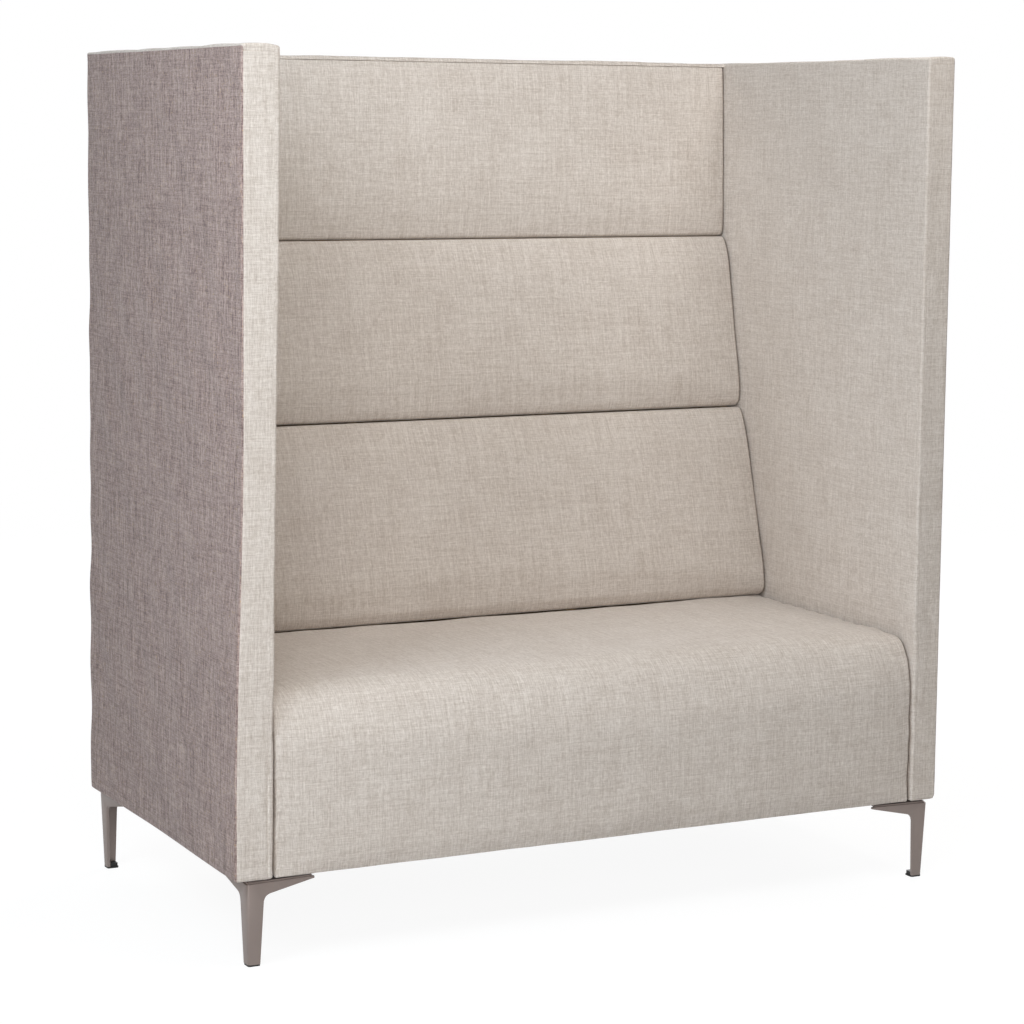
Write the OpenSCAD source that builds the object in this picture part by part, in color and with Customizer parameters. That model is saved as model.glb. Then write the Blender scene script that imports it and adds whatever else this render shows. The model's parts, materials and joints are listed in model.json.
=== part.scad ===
// High-back two-seat booth sofa: upholstered wings and back bolted to a sprung seat box on four cast angle
// legs. +Z is up, the front faces -Y, and the origin is on the floor at the middle of the footprint.

/* [Overall] */
// Width across the two wings
sofa_w = 1300; // [1150:10:1700]
// Depth from the front of the wings to the rear cover
sofa_d = 700; // [680:5:760]
// Height from the floor to the top borders
sofa_h = 1420; // [1300:10:1600]
// Height of the underside of the body
base_z = 140; // [120:5:170]

/* [Panels] */
// Thickness of a finished wing
wing_t = 54; // [50:1:70]
// Thickness of the cover cloth with its wadding
cover_t = 3; // [2:0.5:4]
// Thickness of the boards on both sides of a panel frame
panel_board_t = 4; // [3:0.5:6]
// Thickness of the wing frame timbers
wing_frame_t = 25; // [20:1:30]
// Thickness of the back frame timbers
back_frame_t = 22; // [18:1:26]
// Width of the wing posts, front to rear
wing_post_w = 80; // [70:5:110]
// Width of the back posts
back_post_w = 40; // [30:5:60]
// Height of the top and middle rails of the panels
panel_rail_h = 60; // [40:5:80]
// Height of the bottom rails of the panels
bottom_rail_h = 100; // [60:5:140]
// Radius of the upright edges of the wings
wing_edge_r = 5; // [3.5:0.5:8]

/* [Borders] */
// Depth of the top borders' skirts on the sides
border_drop = 7; // [5:0.5:12]
// Depth of the wing top border on the front face
border_front_drop = 12; // [9:0.5:20]
// Radius of the top borders' long edges
border_r = 6; // [4:0.5:10]
// Width of the inner cover's strip that turns onto the front face
strip_w = 10; // [8:0.5:16]

/* [Seat] */
// Height of the seat where it meets the wings
seat_h = 428; // [410:2:460]
// Rise of the seat at the middle of its width
seat_crown = 7; // [2:0.5:15]
// Bulge of the seat front at the middle of its width
seat_bulge = 3; // [0:0.5:6]
// Depth of the rounded front edge
seat_nose_d = 52; // [40:2:70]
// Height of the rounded front edge
seat_nose_h = 85; // [60:5:110]
// Radius by which the seat draws in at the wings
seat_end_r = 9; // [6:0.5:14]
// Height of the seat box rails
seat_rail_h = 160; // [140:5:180]
// Thickness of the seat box rails
seat_rail_t = 25; // [20:1:30]
// Thickness of the foam in front of the front rail
seat_wrap_t = 14; // [10:1:25]

/* [Back pads] */
// Height of the gap between the top and middle pads
upper_gap_z = 1096; // [1040:2:1130]
// Height of the gap between the middle and lower pads
lower_gap_z = 777; // [740:2:820]
// Width of the gaps between pads
pad_gap = 3; // [2:0.5:6]
// Distance from the rear face to the back's face at the top
back_t_top = 45; // [43:1:55]
// Distance from the rear face to the face at the upper gap
back_t_upper = 55; // [53:1:62]
// Distance from the rear face to the middle pad's upper edge
back_t_middle = 60; // [58:1:72]
// Distance from the rear face to the face at the lower gap
back_t_lower = 130; // [110:2:150]
// Distance from the rear face to the lower pad's bottom edge
back_t_seat = 227; // [190:2:250]
// Thickness of the pads behind their drawn-in edges, without the board
pad_base_t = 21; // [16:1:26]
// Thickness of the pad boards
pad_board_t = 9; // [6:1:12]
// Rise of the padding above its drawn-in edges
pad_crown = 15; // [6:1:20]
// Rise of the top pad's padding
top_pad_crown = 4; // [1:0.5:8]
// Extra rise at mid width
pad_mid_crown = 3; // [0:0.5:6]
// Length over which the padding rises from an edge
pad_roll = 58; // [30:2:80]
// Radius of the pads' cover edges
pad_edge_r = 6; // [3:0.5:9]
// Thickness of the ribs that carry the pads
rib_t = 18; // [12:1:24]

/* [Springs] */
// Number of sinuous springs
spring_count = 6; // [4:1:8]
// Diameter of the spring wire
spring_wire_d = 3.8; // [3:0.2:4.6]
// Width of a spring over its bends
spring_w = 54; // [44:2:70]
// Wanted distance between the bars of a spring
spring_pitch = 34; // [28:1:40]
// Height of the springs' arch above the rails
spring_rise = 20; // [10:1:30]
// Diameter of the tie wires
tie_wire_d = 1.5; // [1:0.1:2]

/* [Legs] */
// Length of a leg's arms under the body
leg_arm_l = 114; // [90:2:130]
// Height of an arm's end
leg_arm_end_h = 8.5; // [7:0.5:12]
// Depth of an arm where it meets the shaft's fillet
leg_arm_root_h = 25; // [18:1:32]
// Width of a wall of the shaft below the fillet
leg_shaft_w = 27.5; // [22:0.5:36]
// Width of a wall at the foot
leg_foot_w = 20; // [17:0.5:26]
// Thickness of the walls
leg_wall_t = 5; // [4:0.5:7]
// Distance from the body's faces to the leg's outer faces
leg_inset = 10; // [6:1:20]
// How far the outer corner leans in at the foot
leg_lean = 4.5; // [0:0.5:8]
// Radius of the outer corner
leg_corner_r = 4.5; // [2:0.5:6]
// Width of the flange inside the walls
leg_flange_w = 26; // [22:1:34]
// Thickness of the flange
leg_flange_t = 4; // [3:0.5:6]
// Height of the shadow gap above the walls
leg_shadow_h = 2.5; // [1:0.5:3]
// Thickness of the glide's sole
glide_sole_t = 2.5; // [2:0.5:5]
// Height of the glide's plug inside the corner
glide_plug_h = 6; // [3:0.5:10]

/* [Hidden] */
$fn = 48;

// Fits
soft_gap = 0.3;
seam_gap = 0.5;
overrun = 5;
dust_t = 1;
dust_inset = 12;

// Faces of the body; the right wing is drawn and the left one mirrors it
half_w = sofa_w / 2;
front_y = -sofa_d / 2;
rear_y = sofa_d / 2;
core_z = base_z + dust_t;
core_top_z = sofa_h - cover_t;
core_front_y = front_y + cover_t;
core_rear_y = rear_y - cover_t;
wing_in_x = half_w - wing_t;
outer_board_x = half_w - cover_t - panel_board_t;
wing_post_x = outer_board_x - wing_frame_t;
inner_board_x = wing_post_x - panel_board_t;
back_board_y = core_rear_y - panel_board_t;
back_frame_y = back_board_y - back_frame_t;
wing_rail_z_share = 0.52;

// Seat box
seat_face_y = front_y + seat_bulge;
front_rail_y = seat_face_y + cover_t + seat_wrap_t;
front_rail_rear_y = front_rail_y + seat_rail_t;
seat_rail_top_z = core_z + seat_rail_h;
side_rail_x = inner_board_x - seat_rail_t;
seat_rear_y = rear_y - back_t_seat + pad_base_t + pad_board_t - seam_gap;
spring_rail_y = seat_rear_y;
spring_rail_h = bottom_rail_h;
cross_rail_h = seat_rail_h - spring_rail_h;
corner_block_w = 60;
corner_block_h = 80;
seat_half_w = wing_in_x - seam_gap;
seat_foam_half_w = seat_half_w - seat_end_r;
seat_foam_lift = 2.5;
seat_foam_z = seat_rail_top_z + seat_foam_lift;
seat_hem_y = front_rail_y - soft_gap;
seat_fold_share = 0.6;

// Springs: bars along X on an arch over the rails, joined by half-round bends
wire_r = spring_wire_d / 2;
clip_t = 1.2;
clip_foot = 9;
clip_w = 14;
front_bar_y = (front_rail_y + front_rail_rear_y) / 2;
rear_bar_y = spring_rail_y + seat_rail_t / 2;
arch_half = (rear_bar_y - front_bar_y) / 2;
arch_r = (arch_half * arch_half + spring_rise * spring_rise) / (2 * spring_rise);
arch_y = (rear_bar_y + front_bar_y) / 2;
bar_z = seat_rail_top_z + soft_gap + wire_r;
arch_z = bar_z + spring_rise - arch_r;
arch_angle = 2 * asin(arch_half / arch_r);
bend_count = round(arch_angle * PI * arch_r / 180 / spring_pitch);
bar_step = arch_angle / bend_count;
bend_r = arch_r * sin(bar_step / 2);
bar_half = spring_w / 2 - bend_r - wire_r;
spring_step = 2 * seat_foam_half_w / spring_count;
tie_r = tie_wire_d / 2;
wire_sides = 6;
bend_turns = [-90, -45, 0, 45, 90];
tie_bar_shares = [0.3, 0.7];
tie_inset = 60;
cloth_t = 1.5;
cloth_r = arch_r + wire_r + tie_wire_d + 2 * soft_gap;
arch_fn = 360;

// Back pads
top_pad_z = sofa_h - border_drop;
pad_half_w = wing_in_x - seam_gap;
pad_wall_t = cover_t;
centre_post_half = back_post_w / 2;
lower_pad_z = seat_h + seat_crown;
pad_crown_shares = [0, 0.02, 0.05, 0.1, 0.16, 0.25, 0.37, 0.5, 0.63, 0.75, 0.84, 0.9, 0.95, 0.98, 1];
end_shares = [0, 0.35, 0.7, 1];
middle_shares = [0.12, 0.26, 0.4, 0.5, 0.6, 0.74, 0.88];
nose_steps = 9;
face_shares = [0.3, 0.6, 0.85];
top_shares = [0.15, 0.35, 0.6, 0.85];

// Legs
leg_wall_top_z = base_z - leg_shadow_h;
leg_arm_z = base_z - leg_arm_end_h;
leg_root_z = base_z - leg_arm_root_h;
leg_fillet_w = 11.5;
leg_fillet_h = 18;
leg_root_w = leg_shaft_w + leg_fillet_w;
leg_flange_inset = 3;
leg_flange_end = leg_arm_l - leg_flange_inset;
leg_hole_in = 15;
leg_hole_end = 19;
leg_hole_far = leg_arm_l - leg_hole_end;
screw_r = 2.2;
screw_head_r = 4.4;
screw_l = 35;
screw_tip_l = 5;
screw_point_r = 0.1;
screw_gap = 0.1;
glide_edge_r = 4;
glide_proud = 0.8;
fillet_shares = [0.2, 0.4, 0.6, 0.8, 1];

// Bolts between the wings, the seat box and the back
bolt_r = 4;
bolt_gap = 0.5;
bolt_head_r = 9;
bolt_head_h = 5;
bolt_end_gap = 3;
nut_flange_r = 11;
nut_flange_t = 1.5;
nut_barrel_r = 5;
nut_barrel_l = 12;
nut_gap = 0.1;
bolt_edge = 18;
bolt_in = wing_post_w - bolt_edge;
base_bolt_drop = 40;
base_bolt_z = seat_rail_top_z - base_bolt_drop;
back_bolt_z_shares = [0.5, 0.88];

light_cloth = [0.78, 0.74, 0.69];
dark_cloth = [0.56, 0.51, 0.49];
leg_metal = [0.5, 0.46, 0.44];
nylon = [0.08, 0.08, 0.08];
timber = [0.8, 0.66, 0.45];
plywood = [0.86, 0.75, 0.57];
foam = [0.93, 0.88, 0.72];
steel = [0.62, 0.63, 0.65];
black_cloth = [0.12, 0.12, 0.12];

// Solid through rings of points of one length; a fan from each end ring's first point closes it
module loft(rings) {
  n = len(rings[0]);
  last = len(rings) - 1;
  sides = [for (i = [0 : last - 1], j = [0 : n - 1])
    let (k = (j + 1) % n, a = i * n, b = a + n)
    each [[a + j, a + k, b + k], [a + j, b + k, b + j]]];
  near_cap = [for (j = [1 : n - 2]) [0, j + 1, j]];
  far_cap = [for (j = [1 : n - 2]) [last * n, last * n + j, last * n + j + 1]];
  polyhedron([for (r = rings, p = r) p], concat(sides, near_cap, far_cap));
}

module block(low, high) {
  translate(low) cube(high - low);
}

// Prism along X of an outline in Y and Z
module prism_x(outline, x0, x1) {
  translate([x0, 0, 0]) rotate([90, 0, 90]) linear_extrude(x1 - x0) polygon(outline);
}

module rod_x(x0, x1, y, z, r) {
  translate([x0, y, z]) rotate([0, 90, 0]) cylinder(r = r, h = x1 - x0);
}

module rounded_rect(low, high, r) {
  translate([low[0] + r, low[1]]) square([high[0] - low[0] - 2 * r, high[1] - low[1]]);
  translate([low[0], low[1] + r]) square([high[0] - low[0], high[1] - low[1] - 2 * r]);
  for (x = [low[0] + r, high[0] - r], y = [low[1] + r, high[1] - r])
    translate([x, y]) circle(r);
}

module both_sides() {
  children();
  mirror([1, 0, 0]) children();
}

function fall(t) = 1 - sqrt(1 - t * t);
function ramp(d, l) = let (s = min(1, max(0, d / l))) 1 - (1 - s) * (1 - s);

// Stations across a cushion: close together on the drawn-in ends, wide in the middle
function stations(half, end_r) = concat(
  [for (s = end_shares) -half + end_r * s * s],
  [for (s = middle_shares) (2 * s - 1) * (half - end_r)],
  [for (i = [len(end_shares) - 1 : -1 : 0]) half - end_r * end_shares[i] * end_shares[i]]);
function drawn_in(x, half, end_r) = end_r * fall(max(0, (abs(x) - half + end_r) / end_r));

// Legs

// Width of a leg's walls at a height, as [height, width] from the top down
function leg_levels() = let (
    slope = (leg_arm_l - leg_root_w) / (leg_arm_z - leg_root_z),
    low = [leg_root_z - leg_fillet_h, leg_shaft_w],
    bend = [leg_root_z - (leg_root_w - leg_shaft_w) / slope, leg_shaft_w],
    high = [leg_root_z, leg_root_w])
  concat([[leg_wall_top_z, leg_arm_l], [leg_arm_z, leg_arm_l], high],
    [for (s = fillet_shares) s * s * low + 2 * s * (1 - s) * bend + (1 - s) * (1 - s) * high],
    [[glide_sole_t, leg_foot_w]]);

// Angle section with a rounded outer corner; the outer faces lean in towards the foot
function leg_section(z, w) = let (
    e = leg_lean * (leg_wall_top_z - z) / (leg_wall_top_z - glide_sole_t),
    t = leg_wall_t,
    r = leg_corner_r)
  [for (p = concat([for (a = [225, 247.5, 270]) [r + r * cos(a), r + r * sin(a)]],
      [[w, 0], [w, t], [t, t], [t, w], [0, w]],
      [for (a = [180, 202.5]) [r + r * cos(a), r + r * sin(a)]]))
    [p[0] + e, p[1] + e, z]];

leg_hole_places = [[leg_hole_in, leg_hole_in], [leg_hole_far, leg_hole_in], [leg_hole_in, leg_hole_far]];

module leg_flange_outline() {
  difference() {
    polygon([[leg_flange_inset, leg_flange_inset], [leg_flange_end, leg_flange_inset],
      [leg_flange_end, leg_flange_w], [2 * leg_flange_w, leg_flange_w], [leg_flange_w, 2 * leg_flange_w],
      [leg_flange_w, leg_flange_end], [leg_flange_inset, leg_flange_end]]);
    for (p = leg_hole_places) translate(p) circle(screw_r + screw_gap);
  }
}

module leg() {
  color(leg_metal) difference() {
    union() {
      loft([for (l = leg_levels()) leg_section(l[0], l[1])]);
      translate([0, 0, base_z - leg_flange_t]) linear_extrude(leg_flange_t) leg_flange_outline();
    }
    for (p = leg_hole_places) translate([p[0], p[1], base_z - leg_flange_t])
      cylinder(r1 = screw_head_r + screw_gap, r2 = screw_r + screw_gap, h = screw_head_r - screw_r);
  }
}

module glide() {
  low = leg_lean + leg_wall_t + soft_gap;
  high = leg_lean + leg_foot_w;
  color(nylon) {
    linear_extrude(glide_sole_t)
      rounded_rect([leg_lean, leg_lean], [high + glide_proud, high + glide_proud], glide_edge_r);
    linear_extrude(glide_sole_t + glide_plug_h)
      rounded_rect([low, low], [high - glide_proud, high - glide_proud], glide_edge_r / 2);
  }
}

module leg_screw() {
  color(steel) {
    cylinder(r1 = screw_head_r, r2 = screw_r, h = screw_head_r - screw_r);
    cylinder(r = screw_r, h = screw_l - screw_tip_l);
    translate([0, 0, screw_l - screw_tip_l]) cylinder(r1 = screw_r, r2 = screw_point_r, h = screw_tip_l);
  }
}

// Puts what is drawn at a leg's outer corner at the sofa's corner on the given sides
module at_corner(side_x, side_y) {
  mirror([side_x > 0 ? 1 : 0, 0, 0]) mirror([0, side_y > 0 ? 1 : 0, 0])
    translate([leg_inset - half_w, front_y + leg_inset, 0]) children();
}

module all_corners() {
  for (sx = [-1, 1], sy = [-1, 1]) at_corner(sx, sy) children();
}

module leg_screw_places() {
  all_corners() for (p = leg_hole_places) translate([p[0], p[1], base_z - leg_flange_t]) children();
}

module screw_holes() {
  leg_screw_places() cylinder(r = screw_r + screw_gap, h = screw_l + overrun);
}

module leg_screws() {
  leg_screw_places() leg_screw();
}

module dust_cover() {
  color(black_cloth) difference() {
    block([dust_inset - half_w, front_y + dust_inset, base_z],
      [half_w - dust_inset, rear_y - dust_inset, core_z]);
    screw_holes();
  }
}

// Bolts

bolt_places = concat(
  [for (y = [core_front_y + bolt_in, core_rear_y - bolt_in]) [side_rail_x, y, base_bolt_z]],
  [for (s = back_bolt_z_shares)
    [inner_board_x - back_post_w, (back_frame_y + back_board_y) / 2, core_z + s * (core_top_z - core_z)]]);

module bolt_holes(r) {
  both_sides() for (p = bolt_places) rod_x(p[0] - overrun, outer_board_x, p[1], p[2], r);
}

module nut_holes() {
  both_sides() for (p = bolt_places) {
    rod_x(outer_board_x - nut_flange_t - nut_gap, outer_board_x + overrun, p[1], p[2],
      nut_flange_r + nut_gap);
    rod_x(outer_board_x - nut_flange_t - nut_barrel_l, outer_board_x, p[1], p[2], nut_barrel_r + nut_gap);
  }
}

module wing_bolts() {
  color(steel) both_sides() for (p = bolt_places) {
    rod_x(p[0] - bolt_head_h, p[0], p[1], p[2], bolt_head_r);
    rod_x(p[0], outer_board_x - bolt_end_gap, p[1], p[2], bolt_r);
  }
}

module wing_t_nuts() {
  color(steel) both_sides() for (p = bolt_places) difference() {
    union() {
      rod_x(outer_board_x - nut_flange_t, outer_board_x, p[1], p[2], nut_flange_r);
      rod_x(outer_board_x - nut_flange_t - nut_barrel_l + nut_gap, outer_board_x - nut_flange_t, p[1], p[2],
        nut_barrel_r);
    }
    rod_x(outer_board_x - nut_barrel_l - overrun, outer_board_x + overrun, p[1], p[2], bolt_r + nut_gap);
  }
}

// Seat box

module seat_front_rail() {
  color(timber) difference() {
    block([-inner_board_x, front_rail_y, core_z], [inner_board_x, front_rail_rear_y, seat_rail_top_z]);
    screw_holes();
  }
}

module seat_spring_rail() {
  color(timber) block([-side_rail_x, spring_rail_y, seat_rail_top_z - spring_rail_h],
    [side_rail_x, spring_rail_y + seat_rail_t, seat_rail_top_z]);
}

module seat_side_rail() {
  color(timber) difference() {
    block([side_rail_x, front_rail_rear_y, core_z], [inner_board_x, back_frame_y, seat_rail_top_z]);
    bolt_holes(bolt_r + bolt_gap);
  }
}

module seat_cross_rail() {
  color(timber) block([-seat_rail_t / 2, front_rail_rear_y, core_z],
    [seat_rail_t / 2, back_frame_y, core_z + cross_rail_h]);
}

module seat_corner_blocks() {
  color(timber) both_sides() for (c = [[front_rail_rear_y, 1], [back_frame_y, -1]])
    translate([side_rail_x, c[0], core_z]) linear_extrude(corner_block_h)
      polygon([[0, 0], [-corner_block_w, 0], [0, c[1] * corner_block_w]]);
}

// A place on the springs' arch, in Y and Z, by the angle from its crown
function on_arch(angle, r) = [arch_y + r * sin(angle), arch_z + r * cos(angle)];

// One turn of the wire round half bend k, as rings of points from one bar's end to the next one's
function bend_rings(k) = let (
    a = (k + 0.5) * bar_step - arch_angle / 2,
    p = on_arch(a, arch_r * cos(bar_step / 2)),
    side = k % 2 == 0 ? 1 : -1,
    up = [0, sin(a), cos(a)],
    along = [0, cos(a), -sin(a)])
  [for (turn = bend_turns) wire_ring([side * (bar_half + bend_r * cos(turn)), p[0], p[1]]
    + bend_r * sin(turn) * along, [cos(turn), 0, 0] + side * sin(turn) * along, up)];

// Ring of the wire's section in the plane of two directions
function wire_ring(place, out, up) =
  [for (i = [0 : wire_sides - 1]) let (a = 360 * i / wire_sides)
    place + wire_r * (cos(a) * out + sin(a) * up)];

// Free end of the first or last bar, whose section faces the same way as the bend beside it
function bar_end(k, end_k, side, out) = let (
    a = (k + 0.5) * bar_step - arch_angle / 2,
    p = on_arch(end_k * bar_step - arch_angle / 2, arch_r))
  [wire_ring([side * bar_half, p[0], p[1]], out * [0, cos(a), -sin(a)], [0, sin(a), cos(a)])];

module sinuous_spring() {
  last = bend_count - 1;
  side = last % 2 == 0 ? 1 : -1;
  loft(concat(bar_end(0, 0, -1, -1), [for (k = [0 : last]) each bend_rings(k)],
    bar_end(last, bend_count, -side, side)));
}

module spring_places() {
  for (i = [0 : spring_count - 1]) translate([(i + 0.5) * spring_step - seat_foam_half_w, 0, 0]) children();
}

module seat_springs() {
  color(steel) spring_places() sinuous_spring();
}

// Saddle clip over a spring's end bar, with a foot on each side
module spring_clip(y) {
  inner = wire_r + soft_gap / 2;
  outer = inner + clip_t;
  translate([-clip_w / 2, y, seat_rail_top_z]) rotate([90, 0, 90]) linear_extrude(clip_w) difference() {
    union() {
      translate([0, bar_z - seat_rail_top_z]) circle(outer);
      translate([-outer, 0]) square([2 * outer, bar_z - seat_rail_top_z]);
      translate([-clip_foot, 0]) square([2 * clip_foot, clip_t]);
    }
    translate([0, bar_z - seat_rail_top_z]) circle(inner);
    translate([-inner, -overrun]) square([2 * inner, bar_z - seat_rail_top_z + overrun]);
  }
}

module spring_clips() {
  color(steel) spring_places() for (y = [front_bar_y, rear_bar_y]) spring_clip(y);
}

module spring_tie_wires() {
  half = seat_foam_half_w - tie_inset / 2;
  color(steel) for (s = tie_bar_shares)
    let (p = on_arch(round(s * bend_count) * bar_step - arch_angle / 2, arch_r + wire_r + soft_gap + tie_r))
    rod_x(-half, half, p[0], p[1], tie_r);
}

// Cylinder under the arch, long enough for the seat
module arch_drum(r, half) {
  translate([-half, arch_y, arch_z]) rotate([0, 90, 0]) cylinder(r = r, h = 2 * half, $fn = arch_fn);
}

module seat_support_cloth() {
  color(black_cloth) intersection() {
    difference() {
      arch_drum(cloth_r + cloth_t, seat_foam_half_w);
      arch_drum(cloth_r, seat_foam_half_w + overrun);
    }
    block([-half_w, front_rail_y, seat_rail_top_z], [half_w, seat_rear_y - cover_t, sofa_h]);
  }
}

// Front of the seat from the top of the rounded edge down, at a distance inside the seat's face
function seat_nose(inset) = [for (i = [0 : nose_steps])
  let (a = 90 * i / nose_steps)
  [seat_face_y + seat_nose_d - (seat_nose_d - inset) * sin(a),
    seat_h - seat_nose_h + (seat_nose_h - inset) * cos(a)]];

// Foam block over the springs with a leg in front of the front rail
module seat_foam() {
  inset = cover_t + soft_gap;
  outline = concat([[seat_rear_y - inset, seat_foam_z], [seat_rear_y - inset, seat_h - inset]],
    seat_nose(inset),
    [[seat_face_y + inset, core_z + inset], [seat_hem_y, core_z + inset], [seat_hem_y, seat_foam_z]]);
  color(foam) difference() {
    prism_x(outline, -seat_foam_half_w, seat_foam_half_w);
    arch_drum(cloth_r + cloth_t + soft_gap, seat_half_w);
  }
}

// Section of the seat's outside at a place across its width, from the corner over the front rail round
function seat_section(x) = let (
    d = drawn_in(x, seat_half_w, seat_end_r),
    across = 1 - pow(abs(x) / seat_half_w, 4),
    top_y = seat_face_y + seat_nose_d,
    face_z = seat_h - seat_nose_h)
  concat([[x, seat_hem_y, seat_foam_z], [x, seat_rear_y, seat_foam_z], [x, seat_rear_y, seat_h - d]],
    [for (s = top_shares) [x, seat_rear_y + s * (top_y - seat_rear_y),
      seat_h - d + seat_crown * across * sin(180 * s)]],
    [for (p = seat_nose(0)) let (s = (p[0] - seat_face_y) / seat_nose_d)
      [x, p[0] + d * (1 - s) - seat_bulge * across * (1 - s) * seat_fold_share, p[1] - d * s]],
    [for (s = face_shares)
      [x, seat_face_y + d - seat_bulge * across * (seat_fold_share + (1 - seat_fold_share) * sin(180 * s)),
        face_z - s * (face_z - base_z)]],
    [[x, seat_face_y + d, base_z], [x, seat_hem_y, base_z]]);

// Jacket over the foam, open below and behind the front rail
module seat_cover() {
  half = seat_foam_half_w + soft_gap;
  inner_y = seat_rear_y - cover_t;
  outline = concat([[inner_y, seat_foam_z - overrun], [inner_y, seat_h - cover_t]], seat_nose(cover_t),
    [[seat_face_y + cover_t, base_z - overrun], [seat_hem_y + overrun, base_z - overrun],
      [seat_hem_y + overrun, seat_foam_z - overrun]]);
  color(light_cloth) difference() {
    loft([for (x = stations(seat_half_w, seat_end_r)) seat_section(-x)]);
    prism_x(outline, -half, half);
  }
}

// Back pads

// Each pad as [bottom height, top height, face at the bottom, face at the top, thickness at the bottom,
// thickness at the top]
top_pad = [upper_gap_z + pad_gap / 2, top_pad_z - soft_gap, rear_y - back_t_upper, rear_y - back_t_top,
  back_frame_y - pad_board_t - rear_y + back_t_upper, back_frame_y - pad_board_t - rear_y + back_t_top];
middle_pad = [lower_gap_z + pad_gap / 2, upper_gap_z - pad_gap / 2, rear_y - back_t_lower + pad_edge_r,
  rear_y - back_t_middle, pad_base_t, back_frame_y - pad_board_t - rear_y + back_t_middle];
lower_pad = [lower_pad_z, lower_gap_z - pad_gap / 2, rear_y - back_t_seat, rear_y - back_t_lower,
  pad_base_t, pad_base_t + pad_edge_r];

function pad_share(p, z) = (z - p[0]) / (p[1] - p[0]);
function pad_face(p, z) = p[2] + (p[3] - p[2]) * pad_share(p, z);
function pad_back(p, z) = pad_face(p, z) + p[4] + (p[5] - p[4]) * pad_share(p, z);
function edge_fall(d) = pad_edge_r * fall(max(0, 1 - d / pad_edge_r));

function pad_section(p, crown, x) = let (
    h = p[1] - p[0],
    r = min(pad_edge_r, p[5] / 2),
    d = drawn_in(x, pad_half_w, r),
    across = 1 - pow(abs(x) / pad_half_w, 2))
  concat([[x, pad_back(p, p[0]) + pad_board_t, p[0]]],
    [for (s = pad_crown_shares) let (z = p[0] + s * h, e = min(z - p[0], p[1] - z))
      [x, pad_face(p, z) + edge_fall(e) * r / pad_edge_r + d
        - (crown + pad_mid_crown * across) * ramp(e, pad_roll), z]],
    [[x, pad_back(p, p[1]) + pad_board_t, p[1]]]);

// Slab from the back of a pad's padding to the back of its board, grown by a gap and run out behind
module pad_board_slab(p, gap, over) {
  z0 = p[0] + pad_wall_t - gap;
  z1 = p[1] - pad_wall_t + gap;
  half = pad_half_w - pad_wall_t - seam_gap + gap;
  prism_x([[pad_back(p, z0) - gap, z0], [pad_back(p, z1) - gap, z1],
    [pad_back(p, z1) + pad_board_t + over, z1], [pad_back(p, z0) + pad_board_t + over, z0]], -half, half);
}

// Slab between a pad's face and its board
module pad_foam_slab(p, gap, over) {
  z0 = p[0] + pad_wall_t - gap;
  z1 = p[1] - pad_wall_t + gap;
  half = pad_half_w - pad_edge_r - pad_wall_t + gap;
  prism_x([[pad_face(p, z0) + cover_t - gap, z0], [pad_face(p, z1) + cover_t - gap, z1],
    [pad_back(p, z1) + over, z1], [pad_back(p, z0) + over, z0]], -half, half);
}

module pad_board(p) {
  color(plywood) pad_board_slab(p, 0, 0);
}

module pad_foam(p) {
  color(foam) pad_foam_slab(p, 0, -soft_gap);
}

module pad_cover(p, crown) {
  color(light_cloth) difference() {
    loft([for (x = stations(pad_half_w, pad_edge_r)) pad_section(p, crown, x)]);
    pad_foam_slab(p, soft_gap, pad_board_t / 2);
    pad_board_slab(p, soft_gap, overrun);
  }
}

// Back panel

module back_posts() {
  z0 = core_z + bottom_rail_h;
  z1 = core_top_z - panel_rail_h;
  color(timber) {
    both_sides() difference() {
      block([inner_board_x - back_post_w, back_frame_y, z0], [inner_board_x, back_board_y, z1]);
      bolt_holes(bolt_r + bolt_gap);
    }
    block([-centre_post_half, back_frame_y, z0], [centre_post_half, back_board_y, z1]);
  }
}

module back_rails() {
  color(timber) {
    difference() {
      block([-inner_board_x, back_frame_y, core_z], [inner_board_x, back_board_y, core_z + bottom_rail_h]);
      screw_holes();
    }
    block([-inner_board_x, back_frame_y, core_top_z - panel_rail_h],
      [inner_board_x, back_board_y, core_top_z]);
    both_sides() block([centre_post_half, back_frame_y, upper_gap_z - panel_rail_h / 2],
      [inner_board_x - back_post_w, back_board_y, upper_gap_z + panel_rail_h / 2]);
  }
}

module back_rear_board() {
  color(plywood) block([-inner_board_x, back_board_y, core_z], [inner_board_x, core_rear_y, core_top_z]);
}

module back_rear_cover() {
  color(dark_cloth) block([-wing_in_x, core_rear_y, base_z], [wing_in_x, rear_y, sofa_h - border_drop]);
}

module back_top_border() {
  face_y = rear_y - back_t_top;
  color(light_cloth) intersection() {
    difference() {
      translate([-wing_in_x, 0, 0]) rotate([90, 0, 90]) linear_extrude(2 * wing_in_x)
        rounded_rect([face_y, sofa_h - 2 * border_r - border_drop], [rear_y, sofa_h], border_r);
      block([-half_w, face_y + cover_t, base_z], [half_w, core_rear_y, core_top_z]);
    }
    block([-half_w, front_y, sofa_h - border_drop], [half_w, rear_y, sofa_h + overrun]);
  }
}

// Ribs between the springs' ends and beside the wings; each stands on the spring rail, and its front edge
// follows the backs of the two raked boards
module back_ribs() {
  foot_y = pad_back(lower_pad, lower_pad[0]) + pad_board_t;
  outline = [[back_frame_y, seat_rail_top_z], [foot_y, seat_rail_top_z],
    for (p = [lower_pad, middle_pad], z = [p[0], p[1]]) [pad_back(p, z) + pad_board_t, z],
    [back_frame_y, middle_pad[1]]];
  end = seat_foam_half_w - rib_t / 2;
  color(plywood) both_sides() for (i = [0 : 2 : spring_count / 2])
    let (x = min(end, seat_foam_half_w - i * spring_step)) prism_x(outline, x - rib_t / 2, x + rib_t / 2);
}

// Wings

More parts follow.
